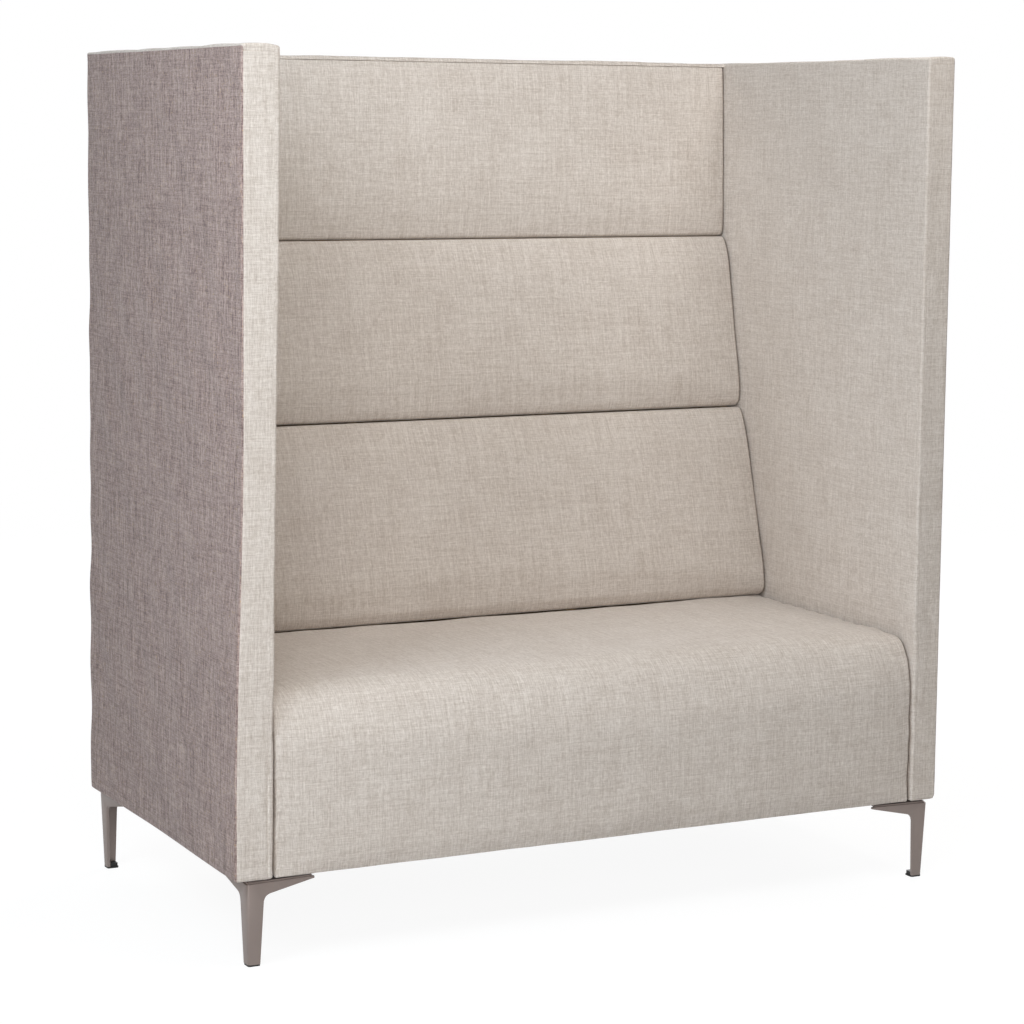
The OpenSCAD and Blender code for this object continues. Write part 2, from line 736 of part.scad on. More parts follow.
module wing_plan(inset) {
  r = wing_edge_r - inset;
  rounded_rect([wing_in_x + inset, front_y + inset], [half_w - inset, rear_y - inset], r);
  translate([wing_in_x + inset, rear_y - wing_t]) square([wing_edge_r, wing_t - inset]);
}

module wing_skin() {
  difference() {
    wing_plan(0);
    wing_plan(cover_t);
  }
}

module wing_front_post() {
  color(timber) difference() {
    block([wing_post_x, core_front_y, core_z], [outer_board_x, core_front_y + wing_post_w, core_top_z]);
    bolt_holes(bolt_r + bolt_gap);
    nut_holes();
    screw_holes();
  }
}

module wing_rear_post() {
  color(timber) difference() {
    block([wing_post_x, core_rear_y - wing_post_w, core_z], [outer_board_x, core_rear_y, core_top_z]);
    bolt_holes(bolt_r + bolt_gap);
    nut_holes();
    screw_holes();
  }
}

module wing_rails() {
  mid_z = core_z + wing_rail_z_share * (core_top_z - core_z);
  color(timber) difference() {
    for (z = [[core_z, bottom_rail_h], [mid_z, panel_rail_h], [core_top_z - panel_rail_h, panel_rail_h]])
      block([wing_post_x, core_front_y + wing_post_w, z[0]],
        [outer_board_x, core_rear_y - wing_post_w, z[0] + z[1]]);
    screw_holes();
  }
}

module wing_inner_board() {
  color(plywood) difference() {
    block([inner_board_x, core_front_y, core_z], [wing_post_x, core_rear_y, core_top_z]);
    bolt_holes(bolt_r + bolt_gap);
  }
}

module wing_outer_board() {
  color(plywood) block([outer_board_x, core_front_y, core_z], [half_w - cover_t, core_rear_y, core_top_z]);
}

module wing_foam() {
  color(foam) block([wing_in_x + cover_t + soft_gap, core_front_y, seat_rail_top_z + soft_gap],
    [inner_board_x, back_frame_y - soft_gap, core_top_z]);
}

module wing_inner_cover() {
  color(light_cloth) {
    translate([0, 0, base_z]) linear_extrude(sofa_h - border_front_drop - base_z) intersection() {
      wing_skin();
      translate([wing_in_x, front_y]) square([strip_w, wing_edge_r]);
    }
    translate([0, 0, seat_rail_top_z + soft_gap])
      linear_extrude(sofa_h - border_drop - seat_rail_top_z - soft_gap) intersection() {
        wing_skin();
        translate([wing_in_x, core_front_y]) square([cover_t, back_frame_y - soft_gap - core_front_y]);
      }
  }
}

module wing_front_border() {
  color(light_cloth) translate([0, 0, base_z]) linear_extrude(sofa_h - border_front_drop - base_z)
    intersection() {
      wing_skin();
      translate([wing_in_x + strip_w, front_y]) square([wing_t - strip_w, wing_edge_r]);
    }
}

module wing_outer_cover() {
  color(dark_cloth) translate([0, 0, base_z]) linear_extrude(sofa_h - border_drop - base_z) intersection() {
    wing_skin();
    union() {
      translate([half_w - wing_edge_r, front_y + wing_edge_r]) square([wing_edge_r, sofa_d - wing_edge_r]);
      translate([wing_in_x, core_rear_y]) square([wing_t, cover_t]);
    }
  }
}

// Cap over the wing's top edge, deeper on the front face
module wing_top_border() {
  color(light_cloth) difference() {
    intersection() {
      translate([0, rear_y, 0]) rotate([90, 0, 0]) linear_extrude(sofa_d)
        rounded_rect([wing_in_x, sofa_h - 2 * border_r - border_front_drop], [half_w, sofa_h], border_r);
      translate([0, 0, sofa_h - border_front_drop]) linear_extrude(border_front_drop) wing_plan(0);
    }
    block([wing_in_x + cover_t, core_front_y, base_z], [half_w - cover_t, core_rear_y, core_top_z]);
    block([wing_in_x - overrun, front_y + wing_edge_r, base_z], [half_w + overrun, rear_y + overrun,
      sofa_h - border_drop]);
    block([wing_in_x - overrun, core_front_y, base_z], [wing_in_x + cover_t, rear_y, sofa_h - border_drop]);
  }
}

module left() {
  mirror([1, 0, 0]) children();
}

at_corner(-1, -1) leg();  // leg_front_left
at_corner(1, -1) leg();  // leg_front_right
at_corner(-1, 1) leg();  // leg_rear_left
at_corner(1, 1) leg();  // leg_rear_right
at_corner(-1, -1) glide();  // glide_front_left
at_corner(1, -1) glide();  // glide_front_right
at_corner(-1, 1) glide();  // glide_rear_left
at_corner(1, 1) glide();  // glide_rear_right
leg_screws();
seat_front_rail();
seat_spring_rail();
left() seat_side_rail();  // seat_left_rail
seat_side_rail();  // seat_right_rail
seat_cross_rail();
seat_corner_blocks();
seat_springs();
spring_clips();
spring_tie_wires();
seat_support_cloth();
seat_foam();
seat_cover();
dust_cover();
back_posts();
back_rails();
back_rear_board();
back_ribs();
back_rear_cover();
back_top_border();
pad_board(top_pad);  // top_pad_board
pad_foam(top_pad);  // top_pad_foam
pad_cover(top_pad, top_pad_crown);  // top_pad_cover
pad_board(middle_pad);  // middle_pad_board
pad_foam(middle_pad);  // middle_pad_foam
pad_cover(middle_pad, pad_crown);  // middle_pad_cover
pad_board(lower_pad);  // lower_pad_board
pad_foam(lower_pad);  // lower_pad_foam
pad_cover(lower_pad, pad_crown);  // lower_pad_cover
left() wing_front_post();  // left_wing_front_post
left() wing_rear_post();  // left_wing_rear_post
left() wing_rails();  // left_wing_rails
left() wing_inner_board();  // left_wing_inner_board
left() wing_outer_board();  // left_wing_outer_board
left() wing_foam();  // left_wing_foam
left() wing_inner_cover();  // left_wing_inner_cover
left() wing_front_border();  // left_wing_front_border
left() wing_top_border();  // left_wing_top_border
left() wing_outer_cover();  // left_wing_outer_cover
wing_front_post();  // right_wing_front_post
wing_rear_post();  // right_wing_rear_post
wing_rails();  // right_wing_rails
wing_inner_board();  // right_wing_inner_board
wing_outer_board();  // right_wing_outer_board
wing_foam();  // right_wing_foam
wing_inner_cover();  // right_wing_inner_cover
wing_front_border();  // right_wing_front_border
wing_top_border();  // right_wing_top_border
wing_outer_cover();  // right_wing_outer_cover
wing_bolts();
wing_t_nuts();
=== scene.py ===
import json
import math
import bmesh
import bpy
import numpy as np
from mathutils import Matrix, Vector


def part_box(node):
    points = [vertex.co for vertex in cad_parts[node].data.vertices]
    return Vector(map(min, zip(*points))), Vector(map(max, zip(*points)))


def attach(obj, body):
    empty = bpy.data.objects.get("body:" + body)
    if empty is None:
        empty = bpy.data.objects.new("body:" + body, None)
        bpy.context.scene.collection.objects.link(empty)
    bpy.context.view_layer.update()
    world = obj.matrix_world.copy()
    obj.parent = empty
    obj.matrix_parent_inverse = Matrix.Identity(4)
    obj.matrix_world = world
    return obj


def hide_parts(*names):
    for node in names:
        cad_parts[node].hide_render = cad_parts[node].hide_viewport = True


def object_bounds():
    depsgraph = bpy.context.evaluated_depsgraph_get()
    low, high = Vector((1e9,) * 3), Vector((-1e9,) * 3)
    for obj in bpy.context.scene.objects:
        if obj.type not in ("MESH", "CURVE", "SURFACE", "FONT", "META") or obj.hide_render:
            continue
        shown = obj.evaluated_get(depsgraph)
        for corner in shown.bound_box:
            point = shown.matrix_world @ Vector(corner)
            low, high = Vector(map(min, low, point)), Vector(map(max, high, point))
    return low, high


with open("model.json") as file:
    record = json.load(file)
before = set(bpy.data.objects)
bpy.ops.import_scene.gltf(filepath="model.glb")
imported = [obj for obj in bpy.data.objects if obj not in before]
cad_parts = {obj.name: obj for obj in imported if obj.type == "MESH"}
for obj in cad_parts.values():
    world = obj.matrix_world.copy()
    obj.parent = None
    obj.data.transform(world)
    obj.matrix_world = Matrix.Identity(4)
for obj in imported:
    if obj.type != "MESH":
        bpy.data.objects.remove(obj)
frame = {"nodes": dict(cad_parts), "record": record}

# High-back two-seat sofa in metres, +Z up, front towards -Y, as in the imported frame
cadBounds = [list(c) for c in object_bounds()]
print("frame loaded:", len(frame["nodes"]), "CAD nodes")


def corners(node):
    low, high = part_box(node)
    return np.array(low), np.array(high)


def linear(red, green, blue):
    # screen colour (0-255) to a shader's linear colour
    c = np.array([red, green, blue]) / 255
    c = np.where(c <= 0.04045, c / 12.92, ((c + 0.055) / 1.055) ** 2.4)
    return (*c.tolist(), 1.0)


def addObject(name, data):
    made = bpy.data.objects.new(name, data)
    bpy.context.scene.collection.objects.link(made)
    return made


def setPlace(thing, right, up, back, place):
    # turns an object's own axes along three directions and moves it to its place
    matrix = np.eye(4)
    matrix[:3] = np.stack([right, up, back, place], -1)
    thing.matrix_world = Matrix(matrix.tolist())


def configure(thing, settings):
    for name, value in settings.items():
        setattr(thing, name, value)


def readArray(items, attribute, width, kind=np.float32):
    # numbers of a mesh, one row per item
    found = np.zeros(len(items) * width, kind)
    items.foreach_get(attribute, found)
    return found.reshape(-1, width)


# Camera

photoCamera = {
    "focalPixels": 2846.5,
    "yaw": 27.112,
    "pitch": 6.986,
    "roll": 0.506,
    "place": (-2.2639, -4.3272, 1.3070),
    "axisPixel": (490.8, 470.8),
    "framePixels": 1024,
    "sensor": 36.0,
    "farthest": 100,
}


def makeCamera(values):
    yaw, pitch, roll = (math.radians(values[k]) for k in ("yaw", "pitch", "roll"))
    forward = np.array([math.sin(yaw) * math.cos(pitch), math.cos(yaw) * math.cos(pitch), -math.sin(pitch)])
    right = np.array([math.cos(yaw), -math.sin(yaw), 0.0])
    up = np.cross(right, forward)
    rolledRight = math.cos(roll) * right + math.sin(roll) * up
    rolledUp = -math.sin(roll) * right + math.cos(roll) * up
    data = bpy.data.cameras.new("photoCamera")
    camera = addObject("photoCamera", data)
    setPlace(camera, rolledRight, rolledUp, -forward, values["place"])
    frameSize = values["framePixels"]
    data.sensor_width = values["sensor"]
    data.lens = values["focalPixels"] / frameSize * values["sensor"]
    data.shift_x = (frameSize / 2 - values["axisPixel"][0]) / frameSize
    data.shift_y = (values["axisPixel"][1] - frameSize / 2) / frameSize
    data.clip_end = values["farthest"]
    bpy.context.scene.camera = camera


makeCamera(photoCamera)

# Node helpers


def connect(tree, node, inputs):
    # sets inputs by name or number: from a socket, from a node's first output, or to a value
    for key, value in inputs.items():
        if isinstance(value, bpy.types.Node):
            value = value.outputs[0]
        if isinstance(value, bpy.types.NodeSocket):
            tree.links.new(value, node.inputs[key])
        else:
            node.inputs[key].default_value = value


def addNode(tree, kind, inputs=None, **settings):
    # node to the right of the last one
    node = tree.nodes.new(kind)
    node.location = (200 * len(tree.nodes), 0)
    configure(node, settings)
    connect(tree, node, inputs or {})
    return node


def mathNode(tree, operation, *values):
    return addNode(tree, "ShaderNodeMath", dict(enumerate(values)), operation=operation)


def clamped(tree, value):
    return addNode(tree, "ShaderNodeClamp", {"Value": value})


def mixColours(tree, share, low, high):
    return addNode(tree, "ShaderNodeMix", {"Factor": share, 6: low, 7: high}, data_type="RGBA").outputs[2]


def newGroup(name, inputs, outputs):
    # node group that reads a vector; the other inputs have the kind of their values
    def addSocket(label, direction, kind):
        return tree.interface.new_socket(name=label, in_out=direction, socket_type="NodeSocket" + kind)

    tree = bpy.data.node_groups.new(name, "ShaderNodeTree")
    addSocket("Vector", "INPUT", "Vector")
    for label, value in inputs.items():
        addSocket(label, "INPUT", "Color" if isinstance(value, tuple) else "Float").default_value = value
    for label in outputs:
        addSocket(label, "OUTPUT", "Color" if label == "Color" else "Float")
    return tree, addNode(tree, "NodeGroupInput").outputs, addNode(tree, "NodeGroupOutput")


noiseValues = {
    "turn": (0.6, 0.0, 0.35),  # of a noise's cells, which else line up in rows across the threads
    "shift": (1.0, 0.7, 1.3),  # place of a noise in its own space, times its seed
    "roughness": 0.55,
}


def stretchedNoise(tree, vector, stretch, seed, detail=2.0):
    # noise whose cells are 1 / stretch metres long in each direction
    shift = tuple(seed * share for share in noiseValues["shift"])
    scaled = addNode(tree, "ShaderNodeMapping", {
        "Vector": vector, "Location": shift, "Rotation": noiseValues["turn"], "Scale": stretch
    }, vector_type="POINT")
    return addNode(tree, "ShaderNodeTexNoise", {
        "Vector": scaled, "Scale": 1.0, "Detail": detail, "Roughness": noiseValues["roughness"]})


# Cloth weave: yarn tone from four stretched noises, two along each thread direction, and the height of a
# plain weave, sin(u) * sin(v), raised where a yarn is thick
weaveValues = {
    "slubs": (460.0, 15.0),  # cells per metre across and along a thick yarn
    "yarns": (850.0, 110.0),
    "blotch": 14.0,
    "flecks": (420, 210, 1),
    "fleckRange": (0.66, 0.74),
    "pitch": 0.0017,  # distance between yarns
    "relief": 0.25,
}


def makeWeaveGroup(values):
    tree, given, sink = newGroup("clothWeave", {
        "Pale": (1, 1, 1, 1), "Shade": (0, 0, 0, 1), "Fleck": (0.5, 0.4, 0.2, 1), "Slub": 1.0, "Yarn": 1.0,
        "Weft": 0.8, "Cloud": 0.2, "Fleck Amount": 0.0}, ("Color", "Height"))
    vector = given["Vector"]

    def threads(warp, weft):
        return mathNode(tree, "MULTIPLY_ADD", centred(weft), given["Weft"], centred(warp))

    def centred(noise):
        return mathNode(tree, "SUBTRACT", noise, 0.5)

    def stretched(cells, warpSeed, weftSeed):
        across, along = cells
        return (stretchedNoise(tree, vector, (across, along, 1), warpSeed),
                stretchedNoise(tree, vector, (along, across, 1), weftSeed))

    slubs = stretched(values["slubs"], 3.1, 13.3)
    yarns = stretched(values["yarns"], 7.7, 21.9)
    blotch = stretchedNoise(tree, vector, (values["blotch"],) * 3, 5.5)
    tone = mathNode(tree, "MULTIPLY_ADD", threads(*slubs), given["Slub"], 0.5)
    tone = mathNode(tree, "MULTIPLY_ADD", threads(*yarns), given["Yarn"], tone)
    tone = mathNode(tree, "MULTIPLY_ADD", centred(blotch), given["Cloud"], tone)
    colour = mixColours(tree, clamped(tree, tone), given["Shade"], given["Pale"])
    start, full = values["fleckRange"]
    flecks = addNode(tree, "ShaderNodeMapRange", {
        "Value": stretchedNoise(tree, vector, values["flecks"], 31.0, detail=1.0), "From Min": start,
        "From Max": full})
    fleckShare = mathNode(tree, "MULTIPLY", flecks, given["Fleck Amount"])
    split = addNode(tree, "ShaderNodeSeparateXYZ", {0: vector})
    turns = math.pi / values["pitch"]
    waves = [mathNode(tree, "SINE", mathNode(tree, "MULTIPLY", split.outputs[k], turns)) for k in (0, 1)]
    crossing = mathNode(tree, "MULTIPLY", *waves)
    connect(tree, sink, {
        "Color": mixColours(tree, fleckShare, colour, given["Fleck"]),
        "Height": mathNode(tree, "MULTIPLY_ADD", crossing, values["relief"], mathNode(tree, "ADD", *slubs))})
    return tree


# Speckle: fine noise that varies colour and roughness a little, as on cast, moulded or coated surfaces
speckleValues = {"detail": 3.0, "patches": (18, 18, 18)}


def makeSpeckleGroup(values):
    tree, given, sink = newGroup("surfaceSpeckle", {
        "Base": (0.5, 0.5, 0.5, 1), "Grain": 900.0, "Strength": 0.1, "Rough": 0.5
    }, ("Color", "Roughness", "Height"))
    vector = given["Vector"]
    noise = addNode(tree, "ShaderNodeTexNoise", {
        "Vector": vector, "Scale": given["Grain"], "Detail": values["detail"]})
    both = mathNode(tree, "ADD", noise, stretchedNoise(tree, vector, values["patches"], 2.0))
    change = mathNode(tree, "MULTIPLY", mathNode(tree, "SUBTRACT", both, 1.0), given["Strength"])
    bright = mathNode(tree, "ADD", change, 1.0)
    colour = addNode(tree, "ShaderNodeVectorMath", {0: given["Base"], "Scale": bright}, operation="SCALE")
    connect(tree, sink, {
        "Color": colour,
        "Roughness": clamped(tree, mathNode(tree, "ADD", change, given["Rough"])),
        "Height": noise})
    return tree


# Wood grain: rings of a noise stretched along one direction, between an early and a late colour
grainValues = {"ringCells": (2.2, 22, 22), "fibreCells": (16, 700, 700), "ringShare": 0.6, "fibreShare": 0.5}


def makeGrainGroup(values):
    tree, given, sink = newGroup("woodGrain", {
        "Early": (0.7, 0.5, 0.3, 1), "Late": (0.45, 0.28, 0.14, 1), "Rings": 7.0}, ("Color", "Height"))
    broad = stretchedNoise(tree, given["Vector"], values["ringCells"], 4.0)
    fibre = stretchedNoise(tree, given["Vector"], values["fibreCells"], 9.0)
    rings = mathNode(tree, "FRACT", mathNode(tree, "MULTIPLY", broad, given["Rings"]))
    rings = mathNode(tree, "MULTIPLY", rings, values["ringShare"])
    tone = clamped(tree, mathNode(tree, "MULTIPLY_ADD", fibre, values["fibreShare"], rings))
    connect(tree, sink, {"Color": mixColours(tree, tone, given["Early"], given["Late"]), "Height": tone})
    return tree


groups = {
    "weave": makeWeaveGroup(weaveValues),
    "speckle": makeSpeckleGroup(speckleValues),
    "grain": makeGrainGroup(grainValues),
}
print("node groups made:", ", ".join(groups))

# Materials: group, the group's own values, constants on the shader, strength and distance of the relief

clothShader = {"Roughness": 0.92, "Specular IOR Level": 0.25, "Sheen Weight": 0.18, "Sheen Roughness": 0.5}
materialValues = {
    "lightCloth": ("weave", {
        "Pale": linear(228, 220, 212), "Shade": linear(184, 171, 160), "Fleck": linear(170, 150, 128),
        "Slub": 0.94, "Yarn": 1.3, "Weft": 0.84, "Cloud": 0.2, "Fleck Amount": 0.2
    }, clothShader, 0.35, 0.0006),
    "darkCloth": ("weave", {
        "Pale": linear(188, 167, 159), "Shade": linear(112, 92, 89), "Fleck": linear(192, 161, 112),
        "Slub": 2.05, "Yarn": 2.6, "Weft": 0.5, "Cloud": 0.12, "Fleck Amount": 0.6
    }, clothShader, 0.45, 0.0007),
    "legMetal": ("speckle", {"Base": linear(140, 127, 121), "Grain": 1400.0, "Strength": 0.12, "Rough": 0.42},
                 {"Metallic": 0.35}, 0.08, 0.0003),
    "nylon": ("speckle", {"Base": linear(26, 25, 24), "Grain": 1800.0, "Strength": 0.2, "Rough": 0.55},
              {"Specular IOR Level": 0.4}, 0.1, 0.0002),
    "steel": ("speckle", {"Base": linear(176, 176, 178), "Grain": 1500.0, "Strength": 0.25, "Rough": 0.35},
              {"Metallic": 1.0}, 0.05, 0.0002),
    "timber": ("grain", {"Early": linear(222, 192, 148), "Late": linear(176, 128, 80)},
               {"Roughness": 0.65}, 0.15, 0.0004),
    "plywood": ("grain", {"Early": linear(226, 204, 166), "Late": linear(192, 158, 112), "Rings": 3.0},
                {"Roughness": 0.6}, 0.1, 0.0003),
    "foam": ("speckle", {"Base": linear(235, 222, 182), "Grain": 900.0, "Strength": 0.25, "Rough": 0.9},
             {"Sheen Weight": 0.1}, 0.5, 0.001),
    "blackCloth": ("speckle", {"Base": linear(34, 33, 33), "Grain": 1100.0, "Strength": 0.5, "Rough": 0.9},
                   {"Sheen Weight": 0.15}, 0.4, 0.0004),
}
slotMaterials = {
    "light_fabric": "lightCloth", "dark_fabric": "darkCloth", "leg_metal": "legMetal", "glide_nylon": "nylon",
    "timber": "timber", "plywood": "plywood", "foam": "foam", "black_cloth": "blackCloth", "steel": "steel",
}


def makeMaterial(name, group, settings, constants, strength, distance):
    # the weave reads the piece's own cloth map, the other groups read Object coordinates
    material = bpy.data.materials.new(name)
    material.use_nodes = True
    tree = material.node_tree
    if group == "weave":
        vector = addNode(tree, "ShaderNodeUVMap", uv_map="cloth")
    else:
        vector = addNode(tree, "ShaderNodeTexCoord").outputs["Object"]
    inner = addNode(tree, "ShaderNodeGroup", {"Vector": vector, **settings}, node_tree=groups[group])
    relief = addNode(tree, "ShaderNodeBump", {
        "Height": inner.outputs["Height"], "Strength": strength, "Distance": distance})
    fed = {"Base Color": inner.outputs["Color"], "Normal": relief}
    if "Roughness" in inner.outputs:
        fed["Roughness"] = inner.outputs["Roughness"]
    connect(tree, tree.nodes["Principled BSDF"], {**constants, **fed})
    return material


materials = {name: makeMaterial(name, *values) for name, values in materialValues.items()}
print("materials made:", ", ".join(materials))

# Surfaces from arrays of points


def spread(*coordinates):
    return np.stack(np.broadcast_arrays(*coordinates), -1)


def surface(name, points, cloth, closed=False, capped=False, flip=False):
    # mesh over a grid of points: closed joins the last column to the first, capped adds a fan at both ends;
    # cloth is the map in metres, with one column more than a closed grid
    rows, columns = points.shape[:2]
    i, j = np.meshgrid(np.arange(rows - 1), np.arange(columns if closed else columns - 1), indexing="ij")
    k = (j + 1) % columns
    faces = spread(i * columns + j, i * columns + k, (i + 1) * columns + k, (i + 1) * columns + j)
    maps = np.stack([cloth[i, j], cloth[i, j + 1], cloth[i + 1, j + 1], cloth[i + 1, j]], -2)
    vertices = points.reshape(-1, 3)
    faces, maps = faces.reshape(-1, 4), maps.reshape(-1, 4, 2)
    allFaces = (faces[:, ::-1] if flip else faces).tolist()
    loopMaps = [(maps[:, ::-1] if flip else maps).reshape(-1, 2)]
    if capped:
        vertices = np.vstack([vertices, points[[0, -1]].mean(1)])
        ring = np.arange(columns)
        after = (ring + 1) % columns
        hub = rows * columns
        lastRing = hub - columns
        caps = np.vstack([spread(ring, hub, after), spread(after + lastRing, hub + 1, ring + lastRing)])
        allFaces += caps.tolist()
        loopMaps.append(vertices[caps.reshape(-1)][:, 1:])
    mesh = bpy.data.meshes.new(name)
    mesh.from_pydata(vertices.tolist(), [], allFaces)
    layer = mesh.uv_layers.new(name="cloth")
    layer.data.foreach_set("uv", np.vstack(loopMaps).astype(np.float32).ravel())
    mesh.polygons.foreach_set("use_smooth", np.ones(len(mesh.polygons), bool))
    mesh.update()
    return addObject(name, mesh)


def closedCloth(points, x, shift=0.0):
    # cloth map of a closed section carried across: place across by distance round
    return spread(x + shift, -lengthAlong(np.concatenate([points, points[:, :1]], 1)))


def lengthAlong(points):
    # distance walked along each row of points
    steps = np.linalg.norm(np.diff(points, axis=1), axis=-1)
    return np.concatenate([np.zeros((len(points), 1)), np.cumsum(steps, axis=1)], 1)


def ease(x):
    # smooth step from 0 to 1
    x = np.clip(x, 0, 1)
    return x * x * (3 - 2 * x)


def ripple(a, b, seed, shortest, longest, count=14):
    # cloth waves: sum of sines over two coordinates in metres, with wavelengths between the two given
    rng = np.random.default_rng(seed)
    total = 0
    for wave in range(count):
        turn = rng.uniform(0, math.pi)
        length = shortest * (longest / shortest) ** rng.uniform()
        total = total + np.sin(2 * math.pi * (a * math.cos(turn) + b * math.sin(turn)) / length
                               + rng.uniform(0, 2 * math.pi))
    return total / math.sqrt(count / 2)


def line(a, b, count):
    # evenly spaced points from a to b, which may hold one value per row
    share = np.linspace(0, 1, count)
    ax, ay = (np.asarray(v, float)[..., None] for v in a)
    bx, by = (np.asarray(v, float)[..., None] for v in b)
    return spread(ax + (bx - ax) * share, ay + (by - ay) * share)


def arc(centreX, centreY, radius, start, stop, count):
    # points on an arc from one angle to another, in degrees
    angle = np.radians(np.linspace(start, stop, count))
    cx, cy, r = (np.asarray(v, float)[..., None] for v in (centreX, centreY, radius))
    return spread(cx + r * np.cos(angle), cy + r * np.sin(angle))


def sharpenRim(mesh):
    # the open edges of a cloth are sharp, so that its wall doesn't bend the shading beside a seam
    edgeOfLoop = readArray(mesh.loops, "edge_index", 1, np.int32)
    uses = np.bincount(edgeOfLoop[:, 0], minlength=len(mesh.edges))
    mesh.attributes.new("sharp_edge", "BOOLEAN", "EDGE").data.foreach_set("value", uses == 1)


def addModifier(piece, name, kind, **settings):
    made = piece.modifiers.new(name, kind)
    configure(made, settings)
    return made


def finishPiece(piece, slot, replaced, solid=None, smooth=0):
    piece.data.materials.append(materials[slotMaterials[slot]])
    if solid:
        sharpenRim(piece.data)
        addModifier(piece, "wall", "SOLIDIFY", thickness=solid, offset=-1)
    if smooth:
        addModifier(piece, "finer", "SUBSURF", levels=smooth, render_levels=smooth)
    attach(piece, "root")
    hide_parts(*replaced)
    return piece


# Cloth simulation: the held points stay, pressure swells the rest, and a soft cap limits the movement
swellValues = {
    "cloth": {"quality": 4, "mass": 0.25, "tension_stiffness": 25.0, "compression_stiffness": 25.0,
              "shear_stiffness": 8.0, "bending_stiffness": 1.0, "use_pressure": True,
              "uniform_pressure_force": 4.0, "vertex_group_mass": "held"},
    "frames": 20,
    "cap": 0.005,
}


def inflate(piece, held, values):
    group = piece.vertex_groups.new(name="held")
    held = np.round(held, 2)
    for weight in np.unique(held[held > 0]):
        group.add(np.flatnonzero(held == weight).tolist(), float(weight), "REPLACE")
    cloth = addModifier(piece, "cloth", "CLOTH")
    configure(cloth.settings, values["cloth"])
    cloth.settings.effector_weights.gravity = 0
    cloth.collision_settings.use_collision = False
    cloth.point_cache.frame_start = 1
    cloth.point_cache.frame_end = values["frames"]
    scene = bpy.context.scene
    for step in range(1, values["frames"] + 1):
        scene.frame_set(step)
    before = readArray(piece.data.vertices, "co", 3)
    made = piece.evaluated_get(bpy.context.evaluated_depsgraph_get())
    move = readArray(made.data.vertices, "co", 3) - before
    distance = np.linalg.norm(move, axis=1)
    capped = values["cap"] * np.tanh(distance / values["cap"]) / np.maximum(distance, 1e-9)
    piece.modifiers.remove(cloth)
    piece.vertex_groups.remove(group)
    piece.data.vertices.foreach_set("co", (before + move * capped[:, None]).ravel())
    piece.data.update()
    scene.frame_set(1)
    print(f"simulated {piece.name}: median move {np.median(distance) * 1000:.1f} mm,"
          f" largest {distance.max() * 1000:.1f} mm before the cap")


def endStations(half, radius, count):
    # places across a cushion, close together on the rounded ends
    turn = np.linspace(0, 1, 7)
    end = radius * (1 - np.cos(turn * math.pi / 2))
    middle = np.linspace(-half + radius, half - radius, count)[1:-1]
    return np.concatenate([-half + end, middle, half - end[::-1]])


def quarterRound(distance, radius):
    # how far a rounded edge falls back at a distance from the edge
    return radius * (1 - np.sqrt(1 - np.clip(1 - distance / radius, 0, 1) ** 2))


def makeCushion(name, points, cloth, held, replaced, values):
    # padded piece with closed ends, held along its ends as well, swelled by the simulation
    piece = surface(name, points, cloth, closed=True, capped=True)
    x = points[:, :1, 0]
    isEnd = x.max() - np.abs(x) < values["endRadius"] * values["heldEnd"]
    held = np.maximum(held, isEnd)
    inflate(piece, np.concatenate([held.ravel(), [1.0, 1.0]]), swellValues)
    finishPiece(piece, "light_fabric", replaced, smooth=1)


# Seat cushion; waves are a seed, the shortest and the longest wave
seatValues = {
    "faceInset": 0.003,
    "crownRoom": 0.007,  # from its plain solid's top down to its own at the edges
    "overRail": 0.0025,
    "hemGap": 0.0003,
    "hemPoint": 0.05,
    "crown": 0.004,  # rise of the top at mid width before the simulation
    "rearRise": 0.0024,  # padding pushed up where the lower pad rests against it
    "rearRoll": 0.030,
    "bulge": 0.0015,
    "bulgeSpan": 0.8,  # share of half a wave over the front's height
    "noseDepth": 0.052,
    "noseHeight": 0.085,
    "endRadius": 0.005,
    "endGap": 0.0015,  # shorter than its plain solid at each end
    "hemRadius": 0.004,
    "rearRadius": 0.006,
    "ripple": 0.0005,
    "endRipple": 0.0012,
    "endReach": 0.03,
    "topWaves": (4, 0.06, 0.35),
    "topEndWaves": (5, 0.03, 0.12),
    "frontWaves": (6, 0.07, 0.4),
    "frontEndWaves": (7, 0.04, 0.15),
    "stations": 116,
    "heldEnd": 1.5,  # in end radii
    "fill": 0.9,
}


